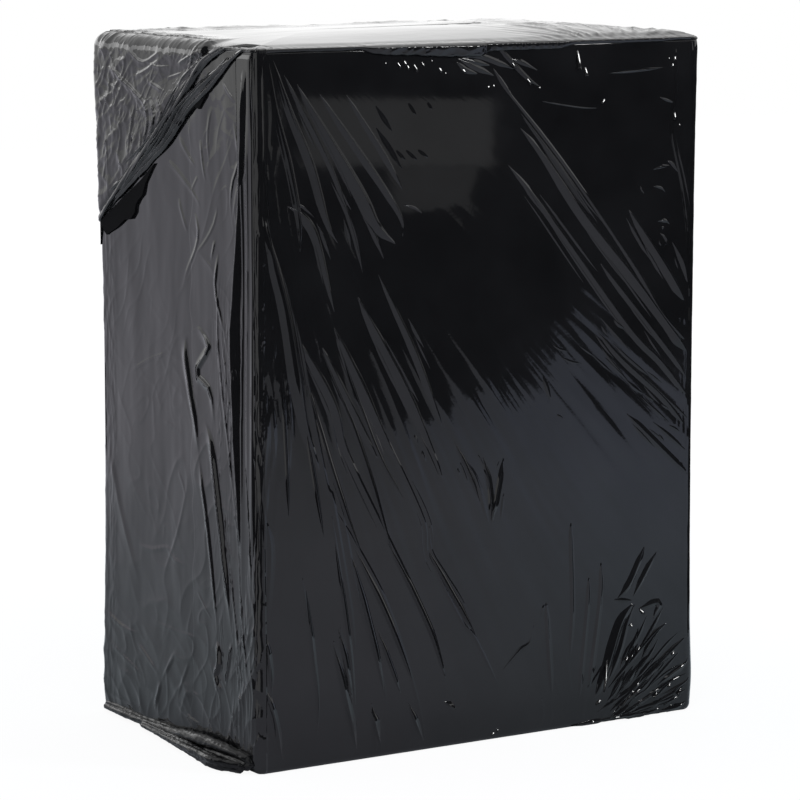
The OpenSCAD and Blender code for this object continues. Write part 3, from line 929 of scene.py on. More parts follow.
@dataclass(frozen=True)
class FilmFinish:
    """How one state of the film looks: its gloss, its fine unevenness and how far it is crumpled."""

    name: str
    colour: Point = (0.0042, 0.0043, 0.0048)
    pale: Point = (0.0068, 0.0070, 0.0078)
    gloss: float = 0.03
    haze: float = 0.05
    peel: float = 0.006
    streaks: float = 0.010
    crumple: float = 0.04
    ior: float = 1.5

    def material(self) -> bpy.types.Material:
        """Builds the material, whose heights are millimetres and whose coordinates are the piece's own."""
        shader = Shader(self.name)
        where = shader.node("ShaderNodeTexCoord", {}, {}, "Object")
        pull = shader.node("ShaderNodeUVMap", {"uv_map": "pull"})
        loose = shader.attribute("loose")
        calm = 1.0 - 0.85 * shader.attribute("still")
        cloud = shader.noise(where, 14.0, 3.0)
        fine = shader.noise(where, 160.0, 2.0) - 0.5
        grit = shader.noise(where, 420.0, 2.0) - 0.5
        run = shader.noise(shader.stretched(pull, (260.0, 9.0, 1.0)), 1.0, 3.0, 0.6) - 0.5
        broad = shader.noise(shader.stretched(pull, (70.0, 5.0, 1.0)), 1.0, 2.0, 0.5) - 0.5
        edges = {"feature": "DISTANCE_TO_EDGE"}
        crush = shader.node("ShaderNodeTexVoronoi", edges, {"Vector": where, "Scale": 95.0}, "Distance")
        crush_fine = shader.noise(where, 240.0, 3.0, 0.65) - 0.5
        height = self.peel * (fine * 2.0 + grit * 0.5) * calm
        height = height + self.streaks * (run * 2.0 + broad * 6.0) * (1.0 - 0.5 * loose) * calm
        height = height + self.crumple * loose * (crush * 2.2 + crush_fine * 2.4)
        relief = {"Strength": 1.0, "Distance": MM, "Height": height}
        bump = shader.node("ShaderNodeBump", {}, relief, "Normal")
        dust = (cloud * 2.2 - 0.6).held()
        shader.surface(
            {
                "Base Color": shader.blend(dust, self.colour, self.pale),
                "Roughness": self.gloss + self.haze * (dust**2.0) * 0.6 + 0.10 * self.haze * loose,
                "IOR": self.ior,
                "Specular IOR Level": 0.45,
                "Normal": bump,
            }
        )
        return shader.material


class Finishes:
    """The finishes of the film, built once and shared by the pieces."""

    def __init__(self) -> None:
        """Builds the materials."""
        self.taut = FilmFinish("film_taut").material()
        self.turned = FilmFinish("film_turned", crumple=0.05, gloss=0.06).material()
        self.rolled = FilmFinish("film_rolled", gloss=0.07, peel=0.008, haze=0.06, ior=1.3).material()
        # Painted shade: the torn finish is dull and barely reflects, so its pieces show black like the shade
        # under the hem.
        self.torn_painted_shade = FilmFinish("film_torn_painted_shade", gloss=0.6, haze=0.2, ior=1.06).material()


def deselect() -> None:
    """Leaves nothing selected, so that an operator acts only on what is picked next."""
    if bpy.context.mode != "OBJECT":
        bpy.ops.object.mode_set(mode="OBJECT")
    bpy.ops.object.select_all(action="DESELECT")


def pick(piece: bpy.types.Object) -> None:
    """Makes one piece the only selected and the active one."""
    deselect()
    piece.select_set(True)
    bpy.context.view_layer.objects.active = piece


class Web:
    """A grid primitive whose points are laid out row by row, as a web of film is."""

    def __init__(self, name: str, points: Array) -> None:
        """Adds the grid and moves its points.

        Args:
            name: Name of the piece.
            points: The places of the points, row by row.
        """
        rows, columns = points.shape[:2]
        deselect()
        bpy.ops.mesh.primitive_grid_add(x_subdivisions=columns - 1, y_subdivisions=rows - 1, size=2)
        self.piece = bpy.context.active_object
        mesh = self.piece.data
        self.piece.name = mesh.name = name
        flat = np.empty(len(mesh.vertices) * 3)
        mesh.vertices.foreach_get("co", flat)
        flat = flat.reshape(-1, 3)
        column = np.rint((flat[:, 0] + 1) / 2 * (columns - 1)).astype(int)
        row = np.rint((flat[:, 1] + 1) / 2 * (rows - 1)).astype(int)
        self.order = row * columns + column
        mesh.vertices.foreach_set("co", points.reshape(-1, 3)[self.order].astype(np.float32).ravel())
        mesh.update()

    def note(self, name: str, values: "Array | float") -> None:
        """Keeps a named number at each point, given row by row or once for all."""
        made = self.piece.data.attributes.new(name, "FLOAT", "POINT")
        values = np.broadcast_to(values, self.order.shape)
        made.data.foreach_set("value", values[self.order].astype(np.float32))

    def unwrap(self, places: Array) -> None:
        """Keeps two numbers for each point, given row by row, as the UV map along the film's pull."""
        mesh = self.piece.data
        layer = mesh.uv_layers.new(name="pull")
        corners = np.empty(len(mesh.loops), int)
        mesh.loops.foreach_get("vertex_index", corners)
        layer.uv.foreach_set("vector", places[self.order][corners].astype(np.float32).ravel())

    def close(self) -> bpy.types.Object:
        """Merges what meets, fills the open rims, turns every face outwards and returns the piece."""
        pick(self.piece)
        bpy.ops.object.mode_set(mode="EDIT")
        bpy.ops.mesh.select_all(action="SELECT")
        bpy.ops.mesh.remove_doubles(threshold=1e-6)
        bpy.ops.mesh.select_all(action="DESELECT")
        bpy.ops.mesh.select_mode(type="EDGE")
        bpy.ops.mesh.select_non_manifold()
        bpy.ops.mesh.fill_holes(sides=0)
        bpy.ops.mesh.select_all(action="SELECT")
        bpy.ops.mesh.normals_make_consistent(inside=False)
        bpy.ops.object.mode_set(mode="OBJECT")
        bpy.ops.object.shade_smooth()
        return self.piece


def join(parts: Sequence[bpy.types.Object], name: str) -> bpy.types.Object:
    """Joins parts, in order, into one piece.

    Args:
        parts: The parts.
        name: Name of the piece.

    Returns:
        The piece.
    """
    deselect()
    for part in parts:
        part.select_set(True)
    bpy.context.view_layer.objects.active = parts[0]
    bpy.ops.object.join()
    piece = bpy.context.active_object
    piece.name = piece.data.name = name
    return piece


def plain_maps(piece: bpy.types.Object) -> None:
    """Gives a piece that isn't a web the same number and UV map as the webs have."""
    piece.data.attributes.new("loose", "FLOAT", "POINT")
    layers = piece.data.uv_layers
    while len(layers) > 1:
        layers.remove(layers[-1])
    if not layers:
        layers.new(name="pull")
    layers[0].name = "pull"


def finish_piece(piece: bpy.types.Object, material: bpy.types.Material) -> bpy.types.Object:
    """Gives a finished piece its material, lets it ride with the pack and returns it."""
    piece.data.materials.clear()
    piece.data.materials.append(material)
    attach(piece, BODY)
    faces = sum(len(p.vertices) - 2 for p in piece.data.polygons)
    LOG.info("%s: %d triangles", piece.name, faces)
    return piece


@dataclass
class PleatWork:
    """Lays pleats on a film, each as a closed strip whose long flank rises from the film's own surface."""

    name: str
    face: Face
    film: Relief

    def strip(self, pleat: Pleat) -> bpy.types.Object:
        """Builds one pleat.

        Args:
            pleat: The pleat.

        Returns:
            The strip.
        """
        course = pleat.course()
        count = len(course)
        run = np.gradient(course, axis=0)
        run /= np.linalg.norm(run, axis=1)[:, None]
        over = np.column_stack([-run[:, 1], run[:, 0]])
        if (self.face is Face.LEFT) != (pleat.slope < 0):
            over = -over
        share = np.linspace(0, 1, count)
        wide = np.interp(share, np.linspace(0, 1, len(pleat.flank)), pleat.flank)
        gone = share * count * PLEAT_STEP
        tip = min(PLEAT_TIP, 0.4 * gone[-1])
        ends = clamp(gone / tip) ** 0.8 * clamp((gone[-1] - gone) / tip) ** 0.8
        wide = np.maximum(wide * np.maximum(ends, 0.06), 0.15)
        slope = np.full(count, float(abs(pleat.slope)))
        catching = self.face is Face.FRONT and pleat.slope > 0
        if catching:
            slope = np.maximum(slope, self.catch_floor(course[:, 1] * MM, over))
        high = np.maximum(wide * np.tan(np.radians(slope)), 0.03)
        back = pleat.back * np.clip(wide / 3.0, 0.12, 1.0)
        if catching:
            back = np.maximum(back, 1.2 * high)
        section = pleat.section()
        across = wide[:, None] * section[None, :, 0] + back[:, None] * section[None, :, 1]
        lift = high[:, None] * section[None, :, 2] + section[None, :, 3]
        lift[[0, -1]] -= 0.8
        spots = course[:, None, :] + over[:, None, :] * across[..., None]
        u = spots[..., 0].ravel()
        v = np.clip(spots[..., 1].ravel(), 0.6, LOAD.height / MM - 0.4)
        s = LOAD.girth - u * MM if self.face is Face.LEFT else u * MM
        rise = self.film(s, v * MM) + lift.ravel()
        points = LOAD.place(s, v * MM, LOAD.draw_in(v * MM), 0.0, rise * MM)
        web = Web(self.name, points.reshape(count, -1, 3))
        web.note("loose", 0.15)
        web.unwrap(np.column_stack([across.ravel(), np.repeat(gone, len(section))]) * MM)
        return web.close()

    def catch_floor(self, z: Array, over: Array) -> Array:
        """Finds how steep a long flank must be to show the pale floor above the dark part of the face.

        Args:
            z: Heights along the pleat.
            over: Unit steps from the crest to the flank.

        Returns:
            The slopes in degrees, up to 24.
        """
        tilt = (np.arctan(z / SCREEN_RADIUS) - np.arctan((EYE_HEIGHT - z) / EYE_DISTANCE)) / 2
        fall = np.maximum(-over[:, 1], 0.12)
        return np.clip((np.degrees(tilt) + 2.0) / fall, 0, 24)

    def build(self, pleats: Sequence[Pleat], finish: bpy.types.Material) -> bpy.types.Object:
        """Builds the pleats as one piece."""
        return finish_piece(join([self.strip(pleat) for pleat in pleats], self.name), finish)


@dataclass(frozen=True)
class GlintWork:
    """Builds the facets that catch the spark lamp."""

    lamp: Point = (1.31, -2.12, 1.72)

    def facet(self, glint: Glint, film: Relief) -> bpy.types.Object:
        """Builds one facet as a small closed fold.

        Args:
            glint: The facet.
            film: Gives how far the film stands off the face, in millimetres.

        Returns:
            The fold.
        """
        u, v = glint.place
        at = np.array(LOAD.on_face(Face.FRONT, u, v))
        to_eye = np.array(VIEWPOINT) - at
        to_lamp = np.array(self.lamp) - at
        half = to_eye / np.linalg.norm(to_eye) + to_lamp / np.linalg.norm(to_lamp)
        slope_u, slope_v = half[0] / -half[1], half[2] / -half[1]
        turn = math.radians(glint.turn)
        across, along = np.meshgrid(np.linspace(-1.3, 1.3, 9), np.linspace(-1.3, 1.3, 13))
        across, along = across.ravel(), along.ravel()
        far = np.hypot(across, along)
        a, b = across * glint.width / 2, along * glint.length / 2
        du = a * math.cos(turn) + b * math.sin(turn)
        dv = b * math.cos(turn) - a * math.sin(turn)
        rise = -(slope_u * du + slope_v * dv)
        rise = rise - rise.min() * 0.6 - 0.02 * glint.width * far**2 - 2.2 * smooth((far - 0.95) / 0.35)
        s, z = (u + du) * MM, (v + dv) * MM
        lift = (float(film(np.array([u * MM]), np.array([v * MM]))[0]) + 0.3 + rise) * MM
        web = Web("glint", LOAD.place(s, z, LOAD.draw_in(z), 0.0, lift).reshape(13, 9, 3))
        web.note("loose", 0.0)
        web.note("still", 1.0)
        web.unwrap(np.column_stack([a, b]) * MM)
        return web.close()

    def build(self, film: Relief, finish: bpy.types.Material) -> bpy.types.Object:
        """Builds all the facets as one piece, on a film of this relief."""
        return finish_piece(join([self.facet(glint, film) for glint in GLINTS], "fold_facets"), finish)


@dataclass
class WallWeb:
    """A web of film over one upright face, whose borders dive under the neighbouring webs."""

    face: Face
    name: str
    before: float
    after: float
    columns: int
    rows: int
    depth_in: float = 0.030

    def lanes(self) -> Array:
        """Returns how far round the load each column lies, closer together where the film turns."""
        start = LOAD.starts()[self.face.value]
        length, _ = LOAD.span(self.face)
        bend = LOAD.edge_r
        parts = [
            np.linspace(-self.before, -bend, max(2, int(self.before / 0.0024)), endpoint=False),
            np.linspace(-bend, bend, 9, endpoint=False),
            np.linspace(bend, length - bend, self.columns, endpoint=False),
            np.linspace(length - bend, length + bend, 9, endpoint=False),
            np.linspace(length + bend, length + self.after, max(3, int(self.after / 0.0024))),
        ]
        return start + np.concatenate(parts)

    def levels(self) -> tuple[Array, Array, Array]:
        """Returns the height, inset and tilt of each row, from under the foot to under the brow."""
        roll = np.linspace(math.pi / 2, 0, 5)[:-1]
        foot_z = LOAD.foot_r * (1 - np.sin(roll))
        foot_in = LOAD.foot_r * (1 - np.cos(roll))
        z = np.linspace(LOAD.foot_r, LOAD.height - LOAD.brow_r, self.rows)
        rows = ((foot_z, z), (foot_in, LOAD.draw_in(z)), (-roll, np.zeros(len(z))))
        return tuple(np.concatenate(row) for row in rows)

    def build(
        self, finish: bpy.types.Material, relief: Relief, loose: Relief, still: Optional[Relief] = None
    ) -> bpy.types.Object:
        """Builds and dresses the web.

        Args:
            finish: Its material.
            relief: Gives the film's relief in millimetres, from the place round the load and the height.
            loose: Gives how crumpled the film is there, from 0 to 1.
            still: Gives how even it is there, from 0 to 1.

        Returns:
            The closed web.
        """
        lanes = self.lanes()
        z, inset, tilt = self.levels()
        start = LOAD.starts()[self.face.value]
        s = np.concatenate([lanes[:1], lanes[:1], lanes, lanes[-1:], lanes[-1:]])
        z, inset, tilt = (np.concatenate([a[:1], a, a[-1:], a[-1:]]) for a in (z, inset, tilt))
        columns, rows = len(s), len(z)
        grid_s, grid_z = np.meshgrid(s, z)
        flat_s, flat_z = grid_s.ravel(), grid_z.ravel()
        hem = LOAD.hem(flat_s)
        lift = relief(flat_s, flat_z)
        lift = lift * (1 - smooth((flat_z - LOAD.height + 0.012) / 0.006))
        lift = lift - 3.2 * smooth((flat_z - hem - 0.001) / 0.006)
        foot = np.repeat(tilt < -0.01, columns)
        lift = np.where(foot, lift * 0.3, lift).reshape(rows, columns)
        lift[:, [1, -2]] -= 2.5
        lift[-2, :] -= 3.0
        inset, tilt = np.repeat(inset, columns), np.repeat(tilt, columns)
        points = LOAD.place(flat_s, flat_z, inset, tilt, lift.ravel() * MM).reshape(rows, columns, 3)
        points[..., 2] = np.maximum(points[..., 2], 0.0003)
        angle = -math.pi / 2 + self.face.value * math.pi / 2
        out = np.array([math.cos(angle), math.sin(angle), 0])
        run = np.array([-math.sin(angle), math.cos(angle), 0])
        length, reach = LOAD.span(self.face)
        inner_u = np.clip(grid_s - start, 0.018, length - 0.018) - length / 2
        inner = run * inner_u[..., None] + out * (reach - self.depth_in)
        inner[..., 2] = np.clip(grid_z, 0.018, LOAD.height - 0.028)
        rim = np.zeros((rows, columns), bool)
        rim[[0, -1], :] = True
        rim[:, [0, -1]] = True
        points[rim] = inner[rim]
        web = Web(self.name, points)
        web.note("loose", loose(flat_s, flat_z))
        if still:
            web.note("still", still(flat_s, flat_z))
        web.unwrap(self.pull(flat_s, flat_z))
        return finish_piece(web.close(), finish)

    def pull(self, s: Array, z: Array) -> Array:
        """Finds the directions in which the film was pulled.

        Args:
            s: Places round the load.
            z: Heights.

        Returns:
            For each place, its angle about the point that the film was pulled from, as a length, and its
            distance from that point, in metres.
        """
        u = s - LOAD.starts()[self.face.value]
        apex = ((-0.10, 0.95), (0.0, 1.2), (0.0, 1.3), (0.40, 1.6))[self.face.value]
        du, dz = u - apex[0], z - apex[1]
        return np.column_stack([np.arctan2(du, -dz) * 0.5, np.hypot(du, dz)])


class FrontFilm:
    """The front web: two long fans of pleats, the short pleats at its lower right corner and the ribbons."""

    def __init__(self) -> None:
        """Sets the web's sizes and its noise."""
        self.web = WallWeb(Face.FRONT, "front_film", 0.040, 0.012, 366, 234, 0.050)
        self.grain = Grain(3)

    def relief(self, s: Array, z: Array) -> Array:
        """Returns the relief of the web, in millimetres."""
        u = s / MM
        v = z / MM
        lift = np.zeros(len(u))
        for item in (*RIBBONS, *FRONT_BULGES):
            item.add_to(lift, u, v)
        calm = 1 - 0.95 * self.still(s, z)
        fans = np.zeros(len(u))
        for fan in FRONT_FANS:
            for crease in fan.creases():
                crease.add_to(fans, u, v)
        lift += fans * calm
        lift += 0.30 * self.grain.billow(cells(u / 200, v / 260, 0)) * calm
        angle = np.arctan2(u + 60, 900 - v)
        far = np.hypot(u + 60, 900 - v)
        streaks = self.grain.at(cells(angle * 34, far / 200, 3.3))
        streaks += 0.6 * self.grain.at(cells(angle * 75, far / 130, 5.3))
        lift += 0.20 * streaks * smooth((far - 250) / 300) * calm
        lift += 0.02 * self.grain.at(cells(u / 18, v / 26, 7.7)) * calm
        lift -= 1.2 * hump(u / 15)
        near_edge = hump((u - 8) / 34) * (0.25 + 0.65 * hump((v - 400) / 170))
        lift += near_edge * self.grain.ridges(cells(u / 16, v / 80, 1.1))
        right_edge = smooth((u - 560) / 30)
        lift += right_edge * 0.5 * self.grain.ridges(cells(u / 10, v / 90, 5.1))
        lift += smooth(-u / 14) * 0.9
        lift += smooth((u - 594) / 10) * 0.8
        return lift

    def still(self, s: Array, z: Array) -> Array:
        """Returns how even the web is, from 0 to 1: it is flattest high up in the middle."""
        u, v = s / MM, z / MM
        return smooth(3.0 * (1 - np.hypot((u - 175) / 215, (v - 700) / 135)))

    def loose(self, s: Array, z: Array) -> Array:
        """Returns how crumpled the web is, from 0 to 1."""
        u, v = s / MM, z / MM
        corner = hump(np.hypot((u - 594) / 190, (v - 10) / 150))
        edge = 0.6 * hump((u - 6) / 40) * (0.35 + 0.65 * smooth((420 - v) / 250))
        foot = 0.5 * smooth((26 - v) / 26)
        top = 0.5 * hump(np.hypot((u - 320) / 130, (v - 800) / 60))
        return clamp(corner + edge + foot + top)

    def build(self, finishes: Finishes) -> bpy.types.Object:
        """Builds and dresses the web."""
        piece = self.web.build(finishes.taut, self.relief, self.loose, self.still)
        rng = np.random.default_rng(83)
        fans = [pleat for pleat in FRONT_PLEATS if pleat.slope > 5.5 and 560 > pleat.line[-1][1] > 60]
        fine = [part for pleat in fans for part in pleat.splinters(rng, 2 if len(pleat.line) < 4 else 3)]
        pleats = [*FRONT_PLEATS, *fine, *SLITS, *self.corner_pleats()]
        PleatWork("front_pleats", Face.FRONT, self.relief).build(pleats, finishes.taut)
        GlintWork().build(self.relief, finishes.taut)
        return piece

    def corner_pleats(self) -> list[Pleat]:
        """Returns the short pleats that fan across the lower right corner."""
        rng = np.random.default_rng(67)
        found = []
        for i in range(40):
            angle = math.radians(lerp(10, 60, (i + rng.random()) / 40))
            near, long = rng.uniform(30, 115), rng.uniform(35, 85)
            bow = rng.uniform(-5, 5)
            line = []
            for t in (0.0, 0.35, 0.7, 1.0):
                r = near + long * t
                off = bow * math.sin(math.pi * t)
                u = 438 + r * math.cos(angle) - off * math.sin(angle)
                v = -16 + r * math.sin(angle) + off * math.cos(angle)
                line.append((min(u, 585.0), max(v, 5.0)))
            wide = rng.uniform(2, 5.5)
            slope = rng.choice((-1, 1)) * rng.uniform(14, 27)
            found.append(Pleat(tuple(line), (1, wide, wide, 1), float(slope), rng.uniform(1.5, 3)))
        return found


class LeftFilm:
    """The web over the left face, slack in places."""

    def __init__(self) -> None:
        """Sets the web's sizes and its noise."""
        self.web = WallWeb(Face.LEFT, "left_film", 0.010, -0.016, 200, 380)
        self.grain = Grain(5)

    def relief(self, s: Array, z: Array) -> Array:
        """Returns the relief of the web, in millimetres."""
        u = (LOAD.girth - s) / MM
        v = z / MM
        lift = 1.2 * self.grain.billow(cells(u / 90, v / 260, 0))
        lift += 0.35 * self.grain.billow(cells(u / 26, v / 90, 4.1))
        low = smooth((330 - v) / 260)
        lift += low * 0.9 * self.grain.ridges(cells((u + v) / 90, (v - u) / 70, 2.2), 1)
        for pleat in (*LEFT_PLEATS[1:], *LEFT_FOLDS):
            pleat.fold().add_to(lift, u, v)
        low = smooth((330 - v) / 240)
        net = self.grain.creases(cells((u + 0.6 * v) / 52, (v - 0.6 * u) / 110, 1.7))
        lift += (0.5 + 0.6 * low) * net
        net = self.grain.creases(cells((u - 0.9 * v) / 60, (v + 0.5 * u) / 95, 9.4))
        lift += (0.3 + 0.7 * low) * net
        rear = smooth((u - 325) / 20)
        lift += rear * 0.8 * self.grain.ridges(cells(u / 12, v / 40, 6.2))
        return lift

    def loose(self, s: Array, z: Array) -> Array:
        """Returns how crumpled the web is, from 0 to 1."""
        u, v = (LOAD.girth - s) / MM, z / MM
        low = 0.5 * smooth((240 - v) / 240)
        rear = 0.5 * smooth((u - 320) / 30)
        return clamp(0.12 + low + rear + 0.3 * hump((u - 40) / 40))

    def build(self, finishes: Finishes) -> bpy.types.Object:
        """Builds and dresses the web."""
        return self.web.build(finishes.taut, self.relief, self.loose)


class EdgeWeb(WallWeb):
    """A finer web, laid only over the near upright edge and the film beside it."""

    def lanes(self) -> Array:
        """Returns how far round the load each column lies, from the left face onto the front."""
        return np.linspace(-self.before, self.after, self.columns)


class EdgeFilm:
    """The crumpled strip of film round the near upright edge and over the near half of the left face."""

    def __init__(self, front: FrontFilm, left: LeftFilm) -> None:
        """Sets the strip's sizes and noise.

        Args:
            front: The web that the strip lies on in front.
            left: The web that it lies on over the left face.
        """
        self.web = EdgeWeb(Face.FRONT, "edge_film", 0.166, 0.015, 140, 680, 0.050)
        self.front = front
        self.left = left
        self.grain = Grain(13)

    def relief(self, s: Array, z: Array) -> Array:
        """Returns the relief of the strip, in millimetres."""
        w, v = -s / MM, z / MM
        turned = smooth((w + 3) / 9)
        lift = self.front.relief(s, z) * (1 - turned) + self.left.relief(LOAD.girth + s, z) * turned
        edge = hump((w - 8) / 46)
        low = smooth((430 - v) / 200)
        sway = 14 * self.grain.at(cells(w / 60, v / 75, 5.1))
        lift += edge * (0.7 + 0.5 * low) * self.grain.ridges(cells((w + sway) / 13, v / 70, 0), 1)
        lift += edge * (1.1 + 0.6 * low) * self.grain.creases(cells((w + sway) / 15, v / 60, 2.2), 1)
        fleck = self.grain.creases(cells((w + 0.45 * v) / 8, (v - 0.5 * w) / 18, 6.6))
        lift += 0.8 * hump((w + 6) / 17) * smooth((640 - v) / 160) * smooth((v - 330) / 90) * fleck
        self.turn_aside(lift, w, v, LEFT_PLEATS[0])
        along = self.grain.creases(cells(w / 8, v / 60, 8.8))
        lift += 1.2 * hump((w - 60) / 60) * smooth((560 - v) / 160) * along
        wave = 7 * self.grain.at(cells(3.3, v / 34, 0))
        border = smooth((15 - s / MM) / 5) * smooth((157 - w + wave) / 9)
        return lift + lerp(-1.0, 0.12, border)

    def turn_aside(self, lift: Array, w: Array, v: Array, pleat: Pleat) -> None:
        """Adds a wide upright pleat whose long flank faces the near edge.

        Args:
            lift: The heights, in millimetres, changed in place.
            w: Distance from the near edge of each height.
            v: Place of each height up the face.
            pleat: The pleat, drawn from its top down.
        """
        course = np.array(pleat.line, float)[::-1]
        flank = np.array(pleat.flank)[::-1]
        levels = np.linspace(course[0, 1], course[-1, 1], len(flank))
        middle = np.interp(v, course[:, 1], course[:, 0])
        wide = np.interp(v, levels, flank)
        share = (w - middle) / wide + 0.5
        ends = smooth((v - levels[0]) / 60) * smooth((levels[-1] - v) / 60)
        rise = clamp(share) * (1 - smooth((share - 1) / 0.9))
        lift += ends * rise * wide * math.tan(math.radians(pleat.slope))

    def loose(self, s: Array, z: Array) -> Array:
        """Returns how crumpled the strip is, from 0 to 1."""
        w, v = -s / MM, z / MM
        return clamp(0.15 + 0.35 * hump((w - 10) / 50) + 0.35 * smooth((300 - v) / 200))

    def build(self, finishes: Finishes) -> bpy.types.Object:
        """Builds and dresses the strip."""
        return self.web.build(finishes.taut, self.relief, self.loose)


class HiddenFilm:
    """The webs over the back and the right face, with plain fans of pleats."""

    def __init__(self) -> None:
        """Sets the webs' sizes and their noise."""
        self.webs = (
            WallWeb(Face.RIGHT, "right_film", -0.004, 0.004, 110, 190),
            WallWeb(Face.BACK, "back_film", 0.010, 0.004, 170, 190),
        )
        self.grain = Grain(7)

    def relief(self, web: WallWeb, s: Array, z: Array) -> Array:
        """Returns the relief of a web, in millimetres."""
        number = web.face.value
        u, v = (s - LOAD.starts()[number]) / MM, z / MM
        wide = 594 if web.face is Face.BACK else 371
        lift = np.zeros(len(u))
        fans = (
            PleatFan((0, 830), (-86, -45), 30, (40, 260), (120, 420), (3, 7), (0.4, 1.6), 21 + number),
            PleatFan((wide, -60), (100, 150), 22, (60, 160), (60, 260), (3, 7), (0.4, 1.4), 31 + number),
        )
        for fan in fans:
            for crease in fan.creases():
                crease.add_to(lift, u, v)
        lift += 0.5 * self.grain.billow(cells(s / 0.2, v / 260, 0))
        return lift

    def loose(self, s: Array, z: Array) -> Array:
        """Returns how crumpled the webs are, from 0 to 1."""
        return clamp(0.15 + 0.5 * smooth((0.12 - z) / 0.12))

    def build(self, finishes: Finishes) -> list[bpy.types.Object]:
        """Builds and dresses both webs."""
        return [web.build(finishes.taut, partial(self.relief, web), self.loose) for web in self.webs]


